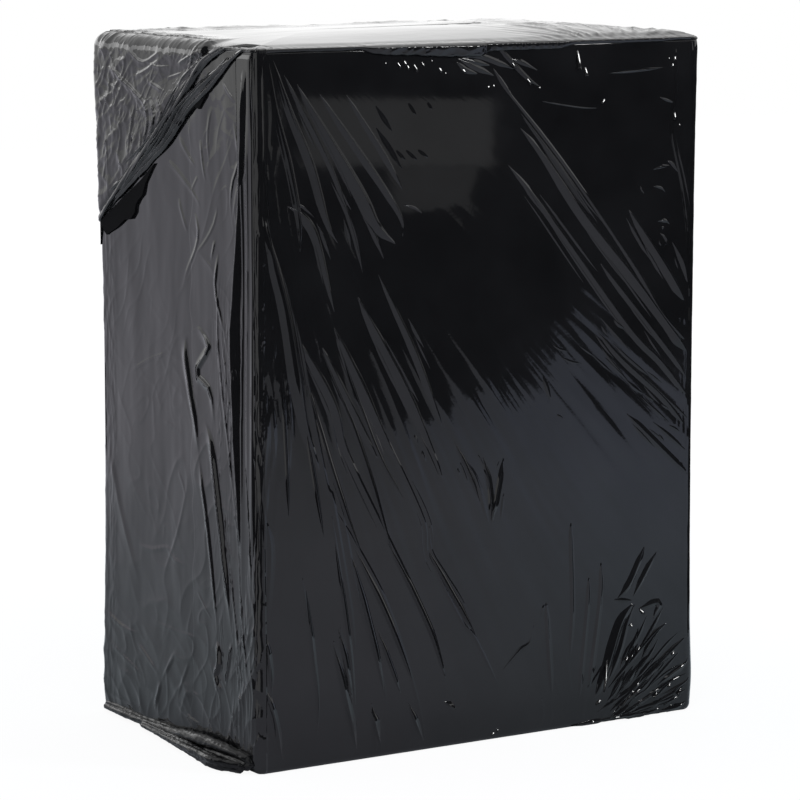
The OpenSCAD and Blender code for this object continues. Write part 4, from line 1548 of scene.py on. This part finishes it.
class TopTurn:
    """The last turn of film, over the top and down over the rear left corner to its slanting hem."""

    def __init__(self) -> None:
        """Sets the noise of the film."""
        self.grain = Grain(9)
        self.wall_rows = 76
        self.crown_rows = 44

    def lanes(self) -> Array:
        """Returns how far round the load each column lies."""
        counts = {Face.FRONT: 200, Face.RIGHT: 66, Face.BACK: 90, Face.LEFT: 200}
        starts = LOAD.starts()
        found = []
        for face in Face:
            low, high = starts[face.value], starts[face.value + 1]
            bend = LOAD.edge_r
            found.append(np.linspace(low, low + bend, 5, endpoint=False))
            found.append(np.linspace(low + bend, high - bend, counts[face], endpoint=False))
            found.append(np.linspace(high - bend, high, 5, endpoint=False))
        return np.concatenate([*found, [LOAD.girth]])

    def crown(self, x: Array, y: Array) -> Array:
        """Returns the height of the film over the load's top."""
        near = clamp(np.minimum(LOAD.width / 2 - np.abs(x), LOAD.depth / 2 - np.abs(y)) / LOAD.shoulder)
        rise = lerp(LOAD.crown_low, LOAD.crown_high, smooth((x / LOAD.width + 0.35) / 0.5))
        return rise * (1 - (1 - near) ** 2)

    def hang(self, s: Array) -> Array:
        """Returns 1 where the turn hangs well below the brow and 0 where its hem lies under it."""
        return smooth((LOAD.hem_top - LOAD.hem(s) - 0.001) / 0.012)

    def brow(self, s: Array) -> Array:
        """Returns the radius of the top edge, softer behind, in metres."""
        starts = LOAD.starts()
        left = smooth((LOAD.girth - s - 0.07) / 0.08)
        rear = smooth((s - starts[2] - LOAD.turn_finish) / 0.08)
        soft = np.where(s > starts[3], left, np.where(s > starts[2], rear, 0.0))
        return LOAD.brow_r + 0.009 * soft

    def wall_relief(self, s: Array, z: Array) -> Array:
        """Returns the relief of the part that hangs down the faces, in millimetres."""
        u = (LOAD.girth - s) / MM
        v = z / MM
        lift = 1.5 + 1.4 * self.grain.billow(cells(u / 80, v / 80, 2.5))
        lift += 1.3 * self.grain.ridges(cells((u + 0.5 * v) / 60, (v - 0.5 * u) / 60, 0))
        lift += 0.5 * self.grain.ridges(cells(u / 20, v / 44, 5.5))
        for pleat in TURN_PLEATS:
            pleat.fold(0.7).add_to(lift, u, v)
        lift += 1.5 * self.grain.creases(cells((u + v) / 22, (v - u) / 64, 4.7), 3)
        lift += 1.2 * self.grain.creases(cells((u - v) / 28, (v + u) / 56, 7.1), 3)
        return lift * self.hang(s)

    def top_relief(self, x: Array, y: Array) -> Array:
        """Returns the relief of the film over the load's top, in millimetres."""
        u, v = (x + LOAD.width / 2) / MM, (y + LOAD.depth / 2) / MM
        lift = 0.3 * self.grain.billow(cells(u / 160, v / 80, 8.1))
        angle = np.arctan2(v + 60, u - 440)
        far = np.hypot(u - 440, v + 60)
        fan = self.grain.ridges(cells(angle * 7, far / 130, 0))
        lift += 3.2 * fan * smooth((u - 340) / 120)
        lift += 0.12 * self.grain.ridges(cells(u / 60, v / 24, 3.1))
        return lift

    def build(self, finishes: Finishes) -> bpy.types.Object:
        """Builds the closed turn, row by row from inside the hem to the middle of the top."""
        s = self.lanes()
        hem = LOAD.hem(s)
        hang = self.hang(s)
        brow_r = self.brow(s)
        brow = LOAD.height - brow_r
        hem = np.minimum(hem, brow - 0.002)
        layer = LOAD.turn_t / MM
        rows = [
            LOAD.place(s, LOAD.height - 0.03, 0.014),
            LOAD.place(s, np.minimum(hem + 0.012, brow), 0.014),
            LOAD.place(s, hem + 0.0012, LOAD.draw_in(hem), 0.0, lerp(-2.5, -0.8, hang) * MM),
            LOAD.place(s, hem, LOAD.draw_in(hem), 0.0, lerp(-2.0, 0.5 * layer, hang) * MM),
        ]
        loose = [np.ones(len(s))] * 4
        puff = 2.4 * smooth((LOAD.girth - s) / MM / 90 - 0.6)
        rim = 0.15 + 0.8 * self.grain.ridges(cells(s / MM / 11, 0, 6.4))
        for share in np.linspace(0, 1, self.wall_rows) ** 0.9:
            z = lerp(hem + 0.0006, brow, share)
            ease = smooth(share / 0.06)
            full = layer + self.wall_relief(s, z) * ease + puff * smooth((share - 0.5) / 0.5)
            lift = lerp(-1.6 + 1.75 * smooth((share - 0.9) / 0.1), full, hang)
            rows.append(LOAD.place(s, z, LOAD.draw_in(z), 0.0, lift * MM))
            loose.append(hang * (0.5 + 0.4 * smooth((share - 0.85) / 0.15)) + 0.1)
        for angle in np.linspace(0, math.pi / 2, 9)[1:]:
            z = brow + brow_r * math.sin(angle)
            inset = brow_r * (1 - math.cos(angle))
            lift = lerp(rim, layer + puff + self.wall_relief(s, brow + brow_r * angle), hang)
            rows.append(LOAD.place(s, z, inset, angle, lift * MM))
            loose.append(0.1 + 0.8 * hang)
        last = LOAD.depth / 2 - 0.006
        for share in np.linspace(0, 1, self.crown_rows + 1)[1:] ** 1.5:
            inset = lerp(brow_r, last, share)
            flat = LOAD.place(s, LOAD.height, inset)
            ease = smooth((inset - brow_r) / 0.02)
            over = inset - brow_r
            fold = self.wall_relief(s, brow + brow_r * math.pi / 2 + over) * (1 - smooth(over / 0.07))
            near = lerp(rim, layer + puff * (1 - smooth(over / 0.05)) + fold, hang)
            ease = lerp(ease, smooth(over / 0.07), hang)
            lift = near * (1 - ease) + (layer + self.top_relief(flat[:, 0], flat[:, 1])) * ease
            flat[:, 2] += lift * MM + self.crown(flat[:, 0], flat[:, 1])
            rows.append(flat)
            loose.append(0.05 + 0.25 * hang * (1 - smooth((inset - brow_r) / 0.05)))
        web = Web("top_turn", np.stack(rows))
        web.note("loose", np.concatenate(loose))
        flat = np.concatenate(rows)
        web.unwrap(np.column_stack([flat[:, 0] + 0.5 * flat[:, 2], flat[:, 1] + 0.5 * flat[:, 2]]))
        return finish_piece(web.close(), finishes.turned)


@dataclass(frozen=True)
class Roll:
    """A margin of film rolled or bunched into a rope of three strands.

    Radii, crumple and twist, the length of one turn, are millimetres. Depth and flat are shares.
    """

    name: str
    line: tuple[Point, ...]
    radii: tuple[float, ...]
    depth: float
    twist: float
    crumple: float
    flat: float
    seed: int
    around: int
    along: int
    strands: int = 3

    def curve(self) -> tuple[Array, Array]:
        """Returns the smooth middle line and the radius along it."""
        share = np.linspace(0, 1, self.along)
        line = on_curve(even_curve(np.array(self.line, float), 0.002), share)
        radius = np.interp(share, np.linspace(0, 1, len(self.radii)), self.radii)
        return line, radius

    def build(self, finish: bpy.types.Material) -> bpy.types.Object:
        """Builds the roll as a closed tube with this finish."""
        line, radius = self.curve()
        run = np.gradient(line, axis=0)
        run /= np.linalg.norm(run, axis=1)[:, None]
        away = line - np.array([0, 0, LOAD.height / 2])
        side = np.cross(away, run)
        side /= np.linalg.norm(side, axis=1)[:, None]
        out = np.cross(run, side)
        length = np.concatenate([[0], np.cumsum(np.linalg.norm(np.diff(line, axis=0), axis=1))])
        turns = np.linspace(0, 2 * np.pi, self.around + 1)
        wind = length[:, None] / (self.twist * MM) * 2 * np.pi
        lobes = np.abs(np.sin((turns[None, :] * self.strands + wind) / 2)) ** 0.8
        size = radius[:, None] * (1 - self.depth + self.depth * lobes)
        grain = Grain(self.seed)
        wound = np.tile(turns, self.along)
        ring = cells(np.cos(wound) * 1.4, np.sin(wound) * 1.4, np.repeat(length, self.around + 1) / 0.026)
        rough = grain.ridges(ring, 3, 0.6) * 2 - 0.9 + 0.8 * grain.at(ring * 0.45 + 9)
        share = np.linspace(0, 1, self.along)
        taper = np.sqrt(clamp(share / 0.02)) * np.sqrt(clamp((1 - share) / 0.02))
        taper = np.maximum(taper, 0.15)[:, None]
        size = size + self.crumple * rough.reshape(size.shape) * (radius[:, None] / max(self.radii))
        size = size * taper * MM
        points = (
            line[:, None, :]
            + side[:, None, :] * (np.cos(turns)[None, :, None] * size[..., None])
            + out[:, None, :] * (np.sin(turns)[None, :, None] * size[..., None] * self.flat)
        )
        points[:, -1] = points[:, 0]
        points[..., 2] = np.maximum(points[..., 2], 0.0004)
        web = Web(self.name, points)
        web.note("loose", 1.0)
        web.unwrap(np.column_stack([wound * 0.005, np.repeat(length, self.around + 1)]))
        return finish_piece(web.close(), finish)


class TurnHem:
    """The hem of the last turn, whose margin has rolled into a rope that stands off the faces."""

    stand = 1.5

    def line(self) -> tuple[Point, ...]:
        """Returns the course of the hem, from the front of the top, down the left face and up the back."""
        x0, y0 = -LOAD.width / 2, -LOAD.depth / 2
        found = [(x0 + 0.026, y0 + 0.006, LOAD.height + 0.001), (x0 + 0.008, y0 + 0.046, LOAD.height + 0.001)]
        for share in (0.06, 0.24, 0.42, 0.6, 0.78, 0.93):
            u = lerp(LOAD.turn_start, LOAD.depth, share) / MM
            z = float(LOAD.hem(LOAD.girth - u * MM)) / MM
            found.append(LOAD.on_face(Face.LEFT, u, z, self.stand))
        back = LOAD.starts()[3] / MM
        for gone in (8, 60, 130):
            z = float(LOAD.hem((back - gone) * MM)) / MM
            found.append(LOAD.on_face(Face.BACK, LOAD.width / MM - gone, z, self.stand))
        return tuple(found)

    def build(self, finishes: Finishes) -> list[bpy.types.Object]:
        """Builds the strands of the hem."""
        radii = (2, 4, 5, 6, 6, 6, 6, 5, 5, 4, 3)
        roll = Roll("turn_hem", self.line(), radii, 0.2, 120, 0.5, 0.7, 41, 36, 260)
        grain = Grain(45)

        def film(s: Array, z: Array) -> Array:
            """Returns how far the rope's surface stands off the face, in millimetres."""
            return 2.6 + 1.1 * grain.billow(cells(s / 0.030, z / 0.016, 0))

        strands = PleatWork("hem_strands", Face.LEFT, film)
        return [roll.build(finishes.turned), strands.build(self.strands(), finishes.turned)]

    def strands(self) -> list[Pleat]:
        """Returns the strands of the rope, which cross one another."""
        rng = np.random.default_rng(61)
        share = np.linspace(0, 1, 12)
        courses = (even_curve(np.array(line, float), 4.0) for line in (HEM_UPPER, HEM_LOWER))
        upper, lower = (on_curve(course, share) for course in courses)
        found = []
        for k in range(15):
            part = (k + rng.uniform(0.2, 0.8)) / 15
            part = lerp(-0.1, 1.1, part) + 0.16 * np.sin(share * rng.uniform(4, 10) + rng.uniform(0, 6))
            spots = upper * (1 - part[:, None]) + lower * part[:, None]
            first = int(rng.integers(0, 4))
            last = 12 - int(rng.integers(0, 4))
            wide = rng.uniform(3.5, 7)
            line = tuple((float(u), float(v)) for u, v in spots[first:last])
            found.append(Pleat(line, (1.5, wide, wide, 1.5), rng.uniform(22, 36), 2.5))
        return found


# Painted shade: these pieces of torn film have a dull, barely reflecting finish, so they also show black like
# the shade under the hem.
@dataclass(frozen=True)
class TornTail:
    """Pieces of film torn from the hem, which hang below it. Outlines are millimetres on the left face."""

    outlines: tuple[tuple[Spot, ...], ...] = (
        (
            (172, 722), (150, 729), (128, 736), (91, 762), (73, 775), (83, 762), (95, 753), (103, 747),
            (107, 741), (110, 738), (121, 727), (130, 729), (165, 709), (182, 697), (196, 694), (191, 709),
        ),
        (
            (227, 660), (250, 635), (257, 622), (268, 615), (274, 609), (277, 600), (287, 592), (302, 590),
            (322, 579), (347, 569), (355, 574), (362, 584), (306, 615), (262, 638),
        ),
        ((368, 790), (364, 792), (362, 782), (361, 770), (364, 758), (369, 757)),
        ((368, 690), (360, 664), (358, 620), (359, 579), (366, 556), (369, 560)),
    )
    lift: float = 2.6

    def build(self, finishes: Finishes) -> bpy.types.Object:
        """Builds the torn pieces, each rooted in the pack."""
        parts = []
        for outline in self.outlines:
            deselect()
            bpy.ops.mesh.primitive_circle_add(vertices=len(outline), radius=1, fill_type="NGON")
            part = bpy.context.active_object
            for vertex, (u, v) in zip(part.data.vertices, outline):
                vertex.co = LOAD.on_face(Face.LEFT, u, v, self.lift)
            bpy.ops.object.mode_set(mode="EDIT")
            bpy.ops.mesh.extrude_region_move(TRANSFORM_OT_translate={"value": (0.024, 0, 0)})
            bpy.ops.mesh.select_all(action="SELECT")
            bpy.ops.mesh.normals_make_consistent(inside=False)
            bpy.ops.object.mode_set(mode="OBJECT")
            parts.append(part)
        piece = join(parts, "torn_tail")
        plain_maps(piece)
        return finish_piece(piece, finishes.torn_painted_shade)


class FootMargin:
    """The bunched margin along the foot of the left face, and the fold that lies outside it."""

    def build(self, finishes: Finishes) -> list[bpy.types.Object]:
        """Builds both rolls."""
        margin, fold = [], []
        for share in np.linspace(0, 1, 9):
            y = lerp(LOAD.depth / 2 - 0.006, -LOAD.depth / 2 + 0.008, share)
            swell = float(smooth((share - 0.3) / 0.5) * (1 - 0.5 * smooth((share - 0.85) / 0.15)))
            size = 0.008 + 0.006 * swell
            margin.append((-LOAD.width / 2 + 0.006 - 0.8 * size, y, size))
        for share in np.linspace(0.3, 0.985, 7):
            y = lerp(LOAD.depth / 2 - 0.006, -LOAD.depth / 2 + 0.008, share)
            away = 0.020 * min(1, share / 0.85) ** 1.3 * (1 - 0.7 * float(smooth((share - 0.88) / 0.12)))
            fold.append((-LOAD.width / 2 - 0.004 - away, y, 0.0075))
        radii = (6, 8, 8, 9, 12, 14, 13, 10)
        rolls = (
            Roll("foot_margin", tuple(margin), radii, 0.42, 420, 1.2, 0.9, 51, 44, 260),
            Roll("foot_fold", tuple(fold), (4, 6, 8, 9, 9, 7), 0.45, 380, 1.1, 0.85, 53, 40, 220),
        )
        return [roll.build(finishes.rolled) for roll in rolls]


@dataclass(frozen=True)
class FrontLip:
    """The margin of the last turn, turned down over the front top edge. Sizes are millimetres.

    The profile is written as rows of depth behind the front, height above the top and share of the drop.
    """

    start: float = 14.0
    rise_at: float = 112.0
    full: float = 165.0
    ribs: float = 300.0
    end: float = 575.0
    last: float = 580.0
    profile: tuple[Point, ...] = (
        (46, -3.0, 0), (34, 0.1, 0), (27, 0.5, 0), (20, 0.7, 0), (13, 0.8, 0), (7, 0.8, 0), (3, 0.7, 0),
        (0.6, 0.4, 0), (-1.6, -0.5, 0.0), (-3.4, -0.9, 0.06), (-4.2, 0, 0.2), (-3.9, 0, 0.42),
        (-3.2, 0, 0.66), (-2.4, 0, 0.88), (-1.4, 0, 1.0), (-0.3, 0, 0.97), (3.0, 0, 0.8), (16.0, -4, 0.5),
        (46, -6.0, 0),
    )

    def build(self, finishes: Finishes) -> bpy.types.Object:
        """Builds the lip as one closed fold."""
        u = np.linspace(self.start, self.last, 480)
        ribbed = smooth((u - self.ribs + 12) / 16)
        lip = smooth((u - self.rise_at) / (self.full - self.rise_at)) * (1 - ribbed)
        rib = ribbed * (1 - smooth((u - self.end + 40) / 38))
        rib *= 1 - 0.5 * smooth((u - 388) / 36)
        grain = Grain(71)
        drop = 13.0 * lip * lerp(0.75, 1.15, smooth((u - 150) / 140)) + 9.0 * rib
        drop += 1.6 * grain.at(cells(u / 14, 0, 0)) * (lip + 0.6 * rib)
        drop = np.maximum(drop, 3.4 + 1.2 * grain.at(cells(u / 23, 0, 3.1)))
        stand = 0.12 + 0.88 * np.maximum(np.maximum(lip, 0.45 * rib), 0.25)
        profile = np.array(self.profile)
        fold = np.abs(np.mod(u / 9.5 + 0.9 * grain.at(cells(u / 40, 0, 0)), 1.0) - 0.5) * 2
        rows = []
        for share in np.linspace(0, 1, 46):
            at = share * (len(profile) - 1)
            depth, height, part = (np.interp(at, np.arange(len(profile)), profile[:, k]) for k in range(3))
            hidden = smooth((share - 0.86) / 0.06) + smooth((0.08 - share) / 0.06)
            slant = u + 7.0 * (part - 0.5) + 0.5 * depth
            place = cells(slant / 26, depth / 18, part)
            waves = 1.5 * grain.ridges(place) * lip + 0.9 * fold * rib
            front = -(depth * np.where(depth < 0, stand, 1.0))
            above = height * np.where(height > 0, stand, 1.0) - part * drop
            push = waves * (1 - hidden)
            out = front + push * (0.75 if depth < -2 else 0.1)
            up = above + push * (0.25 if depth > 3 else 0.0)
            crown = 8.0 * (1 - (1 - np.clip(max(depth, 0) / 160, 0, 1)) ** 2)
            x = u * MM - LOAD.width / 2
            y = -LOAD.depth / 2 - out * MM
            z = LOAD.height + (up + crown) * MM
            rows.append(np.column_stack([x, y, z]))
        points = np.stack(rows)
        points[-1] = points[0]
        web = Web("front_lip", points)
        web.note("loose", 0.35)
        flat = points.reshape(-1, 3)
        web.unwrap(np.column_stack([flat[:, 0], flat[:, 1] - flat[:, 2]]))
        return finish_piece(web.close(), finishes.turned)


class BaseFilm:
    """The film under the load, which closes the pack from below."""

    def build(self, finishes: Finishes) -> bpy.types.Object:
        """Builds the underside from a bevelled block with a pressed-in panel."""
        deselect()
        bpy.ops.mesh.primitive_cube_add(size=1, location=(0, 0, 0.0104))
        piece = bpy.context.active_object
        piece.name = piece.data.name = "base_film"
        bpy.ops.object.mode_set(mode="EDIT")
        bpy.ops.transform.resize(value=(LOAD.width - 0.011, LOAD.depth - 0.011, 0.020))
        bpy.ops.mesh.bevel(offset=0.004, segments=3, affect="EDGES")
        bpy.ops.mesh.select_all(action="DESELECT")
        bpy.ops.object.mode_set(mode="OBJECT")
        for face in piece.data.polygons:
            face.select = face.normal.z < -0.99
        bpy.ops.object.mode_set(mode="EDIT")
        bpy.ops.mesh.select_mode(type="FACE")
        bpy.ops.mesh.inset(thickness=0.012, depth=0)
        bpy.ops.mesh.inset(thickness=0.006, depth=-0.0008)
        bpy.ops.mesh.select_all(action="SELECT")
        bpy.ops.mesh.normals_make_consistent(inside=False)
        bpy.ops.object.mode_set(mode="OBJECT")
        bpy.ops.object.transform_apply(location=True, rotation=True, scale=True)
        plain_maps(piece)
        bpy.ops.object.shade_smooth_by_angle(angle=math.radians(40))
        return finish_piece(piece, finishes.taut)


def glow_material(name: str, strength: float) -> bpy.types.Material:
    """Returns a material that only gives off white light."""
    shader = Shader(name)
    glow = shader.node("ShaderNodeEmission", {}, {"Color": (1, 1, 1, 1), "Strength": strength})
    shader.node_out(glow)
    return shader.material


def show_in_gloss(piece: bpy.types.Object, material: bpy.types.Material) -> None:
    """Gives a piece of the studio its material and leaves it visible only in reflections."""
    piece.data.materials.clear()
    piece.data.materials.append(material)
    piece.visible_camera = False
    piece.visible_diffuse = False
    piece.visible_shadow = False
    piece.visible_transmission = False


class Studio:
    """The pale floor, the white surroundings, the dark side of the room and the lamps."""

    screen_height = 5.0
    screen_foot: tuple[Spot, ...] = (
        (-160.0, 0.002), (-80.0, 0.002), (-68.5, 0.058), (-67.6, 0.056), (-64.9, 0.045), (-63.3, 0.029),
        (-62.1, 0.002), (-60.2, 0.002), (-58.9, 0.019), (-57.7, 0.030), (-56.6, 0.019), (-56.3, 0.075),
        (-55.8, 0.135), (-54.6, 0.125), (-53.4, 0.082), (-52.4, 0.045), (-50.6, 0.002), (-32.0, 0.002),
    )

    def floor(self) -> None:
        """Builds the floor, white to the camera except for the pack's soft shadow; its paper carries painted
        shade near the pack.
        """
        deselect()
        bpy.ops.mesh.primitive_grid_add(x_subdivisions=8, y_subdivisions=8, size=16)
        floor = bpy.context.active_object
        floor.name = floor.data.name = "studio_floor"
        shader = Shader("floor_paper_painted_shade")
        where = shader.node("ShaderNodeTexCoord", {}, {}, "Object")
        far = shader.node("ShaderNodeVectorMath", {"operation": "LENGTH"}, {0: where}, "Value")
        # Painted shade: the paper that the film reflects is darker near the pack, most of all behind it,
        # where the pack's shade falls; out to two and a half metres it also takes other tints by side.
        painted_shade_fade = ((far - 0.5) / 2.0).held()
        across = shader.node("ShaderNodeSeparateXYZ", {}, {0: where}, "X")
        deep = shader.node("ShaderNodeSeparateXYZ", {}, {0: where}, "Y")
        behind = (deep * 2.0 + 0.5).held()
        aside = ((across * 0.85 + deep * 0.53 + 0.22) * 3.0).held()
        near = shader.blend(aside, (0.44, 0.45, 0.51), (0.38, 0.44, 0.49))
        front = shader.blend(painted_shade_fade, near, shader.blend(aside, (0.34, 0.35, 0.38), (0.50, 0.55, 0.69)))
        back = shader.blend(painted_shade_fade, (0.50, 0.55, 0.60), (0.80, 0.79, 0.87))
        painted_shade_paper = shader.node("ShaderNodeBsdfDiffuse", {}, {"Color": shader.blend(behind, front, back)})
        glow = shader.node("ShaderNodeEmission", {}, {"Color": (1, 1, 1, 1), "Strength": 1.06})
        seen = shader.node("ShaderNodeLightPath", {}, {}, "Is Camera Ray")
        mixed = shader.node("ShaderNodeMixShader", {}, {0: seen * 0.88, 1: painted_shade_paper, 2: glow})
        shader.node_out(mixed)
        floor.data.materials.append(shader.material)

    def curved(self, name: str, radius: float, turn: Array, low: Array, high: float) -> bpy.types.Object:
        """Builds a curved upright screen.

        Args:
            name: Its name.
            radius: Its distance from the middle of the pack.
            turn: The bearings of its columns, in degrees.
            low: Height of its foot at each.
            high: Height of its top.

        Returns:
            The screen.
        """
        angles = np.radians(turn)
        level = np.column_stack([np.cos(angles), np.sin(angles)]) * radius
        rows = [np.column_stack([level, low]), np.column_stack([level, 0 * low + high])]
        return Web(name, np.stack(rows)).piece

    def flags(self) -> None:
        """Builds the dark side of the room, curved screens in front of the pack that only gloss shows."""
        shader = Shader("dark_cloth")
        shader.surface({"Base Color": (0.007, 0.007, 0.008, 1), "Roughness": 0.9, "Specular IOR Level": 0.0})
        foot = np.array(self.screen_foot)
        turn = np.unique(np.concatenate([np.linspace(foot[0, 0], foot[-1, 0], 90), foot[:, 0]]))
        low = np.interp(turn, foot[:, 0], foot[:, 1])
        far = self.curved("dark_screen", SCREEN_RADIUS, turn, low, self.screen_height)
        show_in_gloss(far, shader.material)
        for name, radius, start, end, count, bottom, top, strength in (
            ("dark_wing", 0.8, -140.0, -125.0, 12, 0.001, 3.0, 0.0),
            ("dark_wing_left", 0.8, -192.0, -166.0, 12, 0.001, 3.0, 0.0),
            ("side_card", 0.8, -164.0, -142.0, 12, 0.001, 3.0, 0.85),
            ("rear_card", 3.0, 88.0, 150.0, 20, 0.92, 1.6, 2.4),
            ("dark_side", 0.85, -33.0, 62.0, 24, 0.001, 0.78, 0.0),
            ("top_card", 3.0, 20.0, 86.0, 20, 0.84, 3.0, 1.3),
        ):
            turn = np.linspace(start, end, count)
            screen = self.curved(name, radius, turn, 0 * turn + bottom, top)
            show_in_gloss(screen, glow_material(name, strength) if strength else shader.material)

    def cards(self) -> None:
        """Builds the dim window that shows in the upper front face, and the cards behind the glints."""
        window = (
            (1.032, -2.332, 0.428), (1.334, -2.173, 0.428), (1.333, -2.174, 0.545), (1.032, -2.332, 0.545),
        )
        lower = (
            (1.185, -2.258, 0.350), (1.295, -2.197, 0.350), (1.310, -2.187, 0.426), (1.165, -2.268, 0.426),
        )
        strip = ((-0.9, -2.05, 1.75), (1.9, -1.25, 1.75), (1.9, -1.10, 1.90), (-0.9, -1.90, 1.90))
        spark = ((1.21, -2.18, 1.62), (1.41, -2.06, 1.62), (1.41, -2.06, 1.82), (1.21, -2.18, 1.82))
        for name, strength, corners in (
            ("dim_window", 0.42, window),
            ("dim_window_low", 0.30, lower),
            ("strip_lamp", 1.4, strip),
            ("spark_lamp", 45.0, spark),
        ):
            card = Web(name, np.array([corners[:2], corners[:1:-1]])).piece
            show_in_gloss(card, glow_material(name, strength))

    def aim(self, tool: bpy.types.Object, target: Point) -> None:
        """Turns a lamp or the camera towards a point and puts it in the scene."""
        tool.rotation_euler = (Vector(target) - tool.location).to_track_quat("-Z", "Y").to_euler()
        bpy.context.scene.collection.objects.link(tool)

    def lamps(self) -> None:
        """Adds the small lamps that give the sharp folds their glints."""
        for name, place, size, power in (
            ("key_lamp", (1.2, -1.7, 1.9), 0.42, 22.0),
            ("side_lamp", (-1.4, -1.7, 2.3), 0.36, 16.0),
        ):
            light = bpy.data.lights.new(name, "AREA")
            light.shape = "SQUARE"
            light.size = size
            light.energy = power
            lamp = bpy.data.objects.new(name, light)
            lamp.location = place
            self.aim(lamp, (0, 0, 0.5))

    def world(self) -> None:
        """Sets the even white surroundings."""
        world = bpy.data.worlds.new("white_room")
        world.use_nodes = True
        sky = world.node_tree.nodes["Background"]
        sky.inputs["Color"].default_value = (1, 1, 1, 1)
        sky.inputs["Strength"].default_value = 1.0
        bpy.context.scene.world = world

    def camera(self) -> None:
        """Adds the camera at the photograph's viewpoint."""
        camera = bpy.data.cameras.new("camera")
        camera.lens = 158.7
        camera.sensor_width = 36.0
        camera.clip_end = 60.0
        holder = bpy.data.objects.new("camera", camera)
        holder.location = VIEWPOINT
        self.aim(holder, AIM)
        bpy.context.scene.camera = holder

    def build(self) -> None:
        """Builds the whole studio."""
        self.camera()
        self.world()
        self.floor()
        self.flags()
        self.cards()
        self.lamps()


def main() -> None:
    """Builds the studio and every piece of the pack, in order."""
    logging.basicConfig(level=logging.INFO, format="%(name)s: %(message)s")
    bpy.context.scene.view_settings.view_transform = "Standard"
    Studio().build()
    LOG.info("studio built")
    finishes = Finishes()
    front_film = FrontFilm()
    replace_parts(front_film.build(finishes), "wrapped_pack")
    left_film = LeftFilm()
    left_film.build(finishes)
    EdgeFilm(front_film, left_film).build(finishes)
    HiddenFilm().build(finishes)
    TopTurn().build(finishes)
    TurnHem().build(finishes)
    TornTail().build(finishes)
    FootMargin().build(finishes)
    FrontLip().build(finishes)
    BaseFilm().build(finishes)
    LOG.info("pack dressed")


if __name__ == "__main__":
    main()
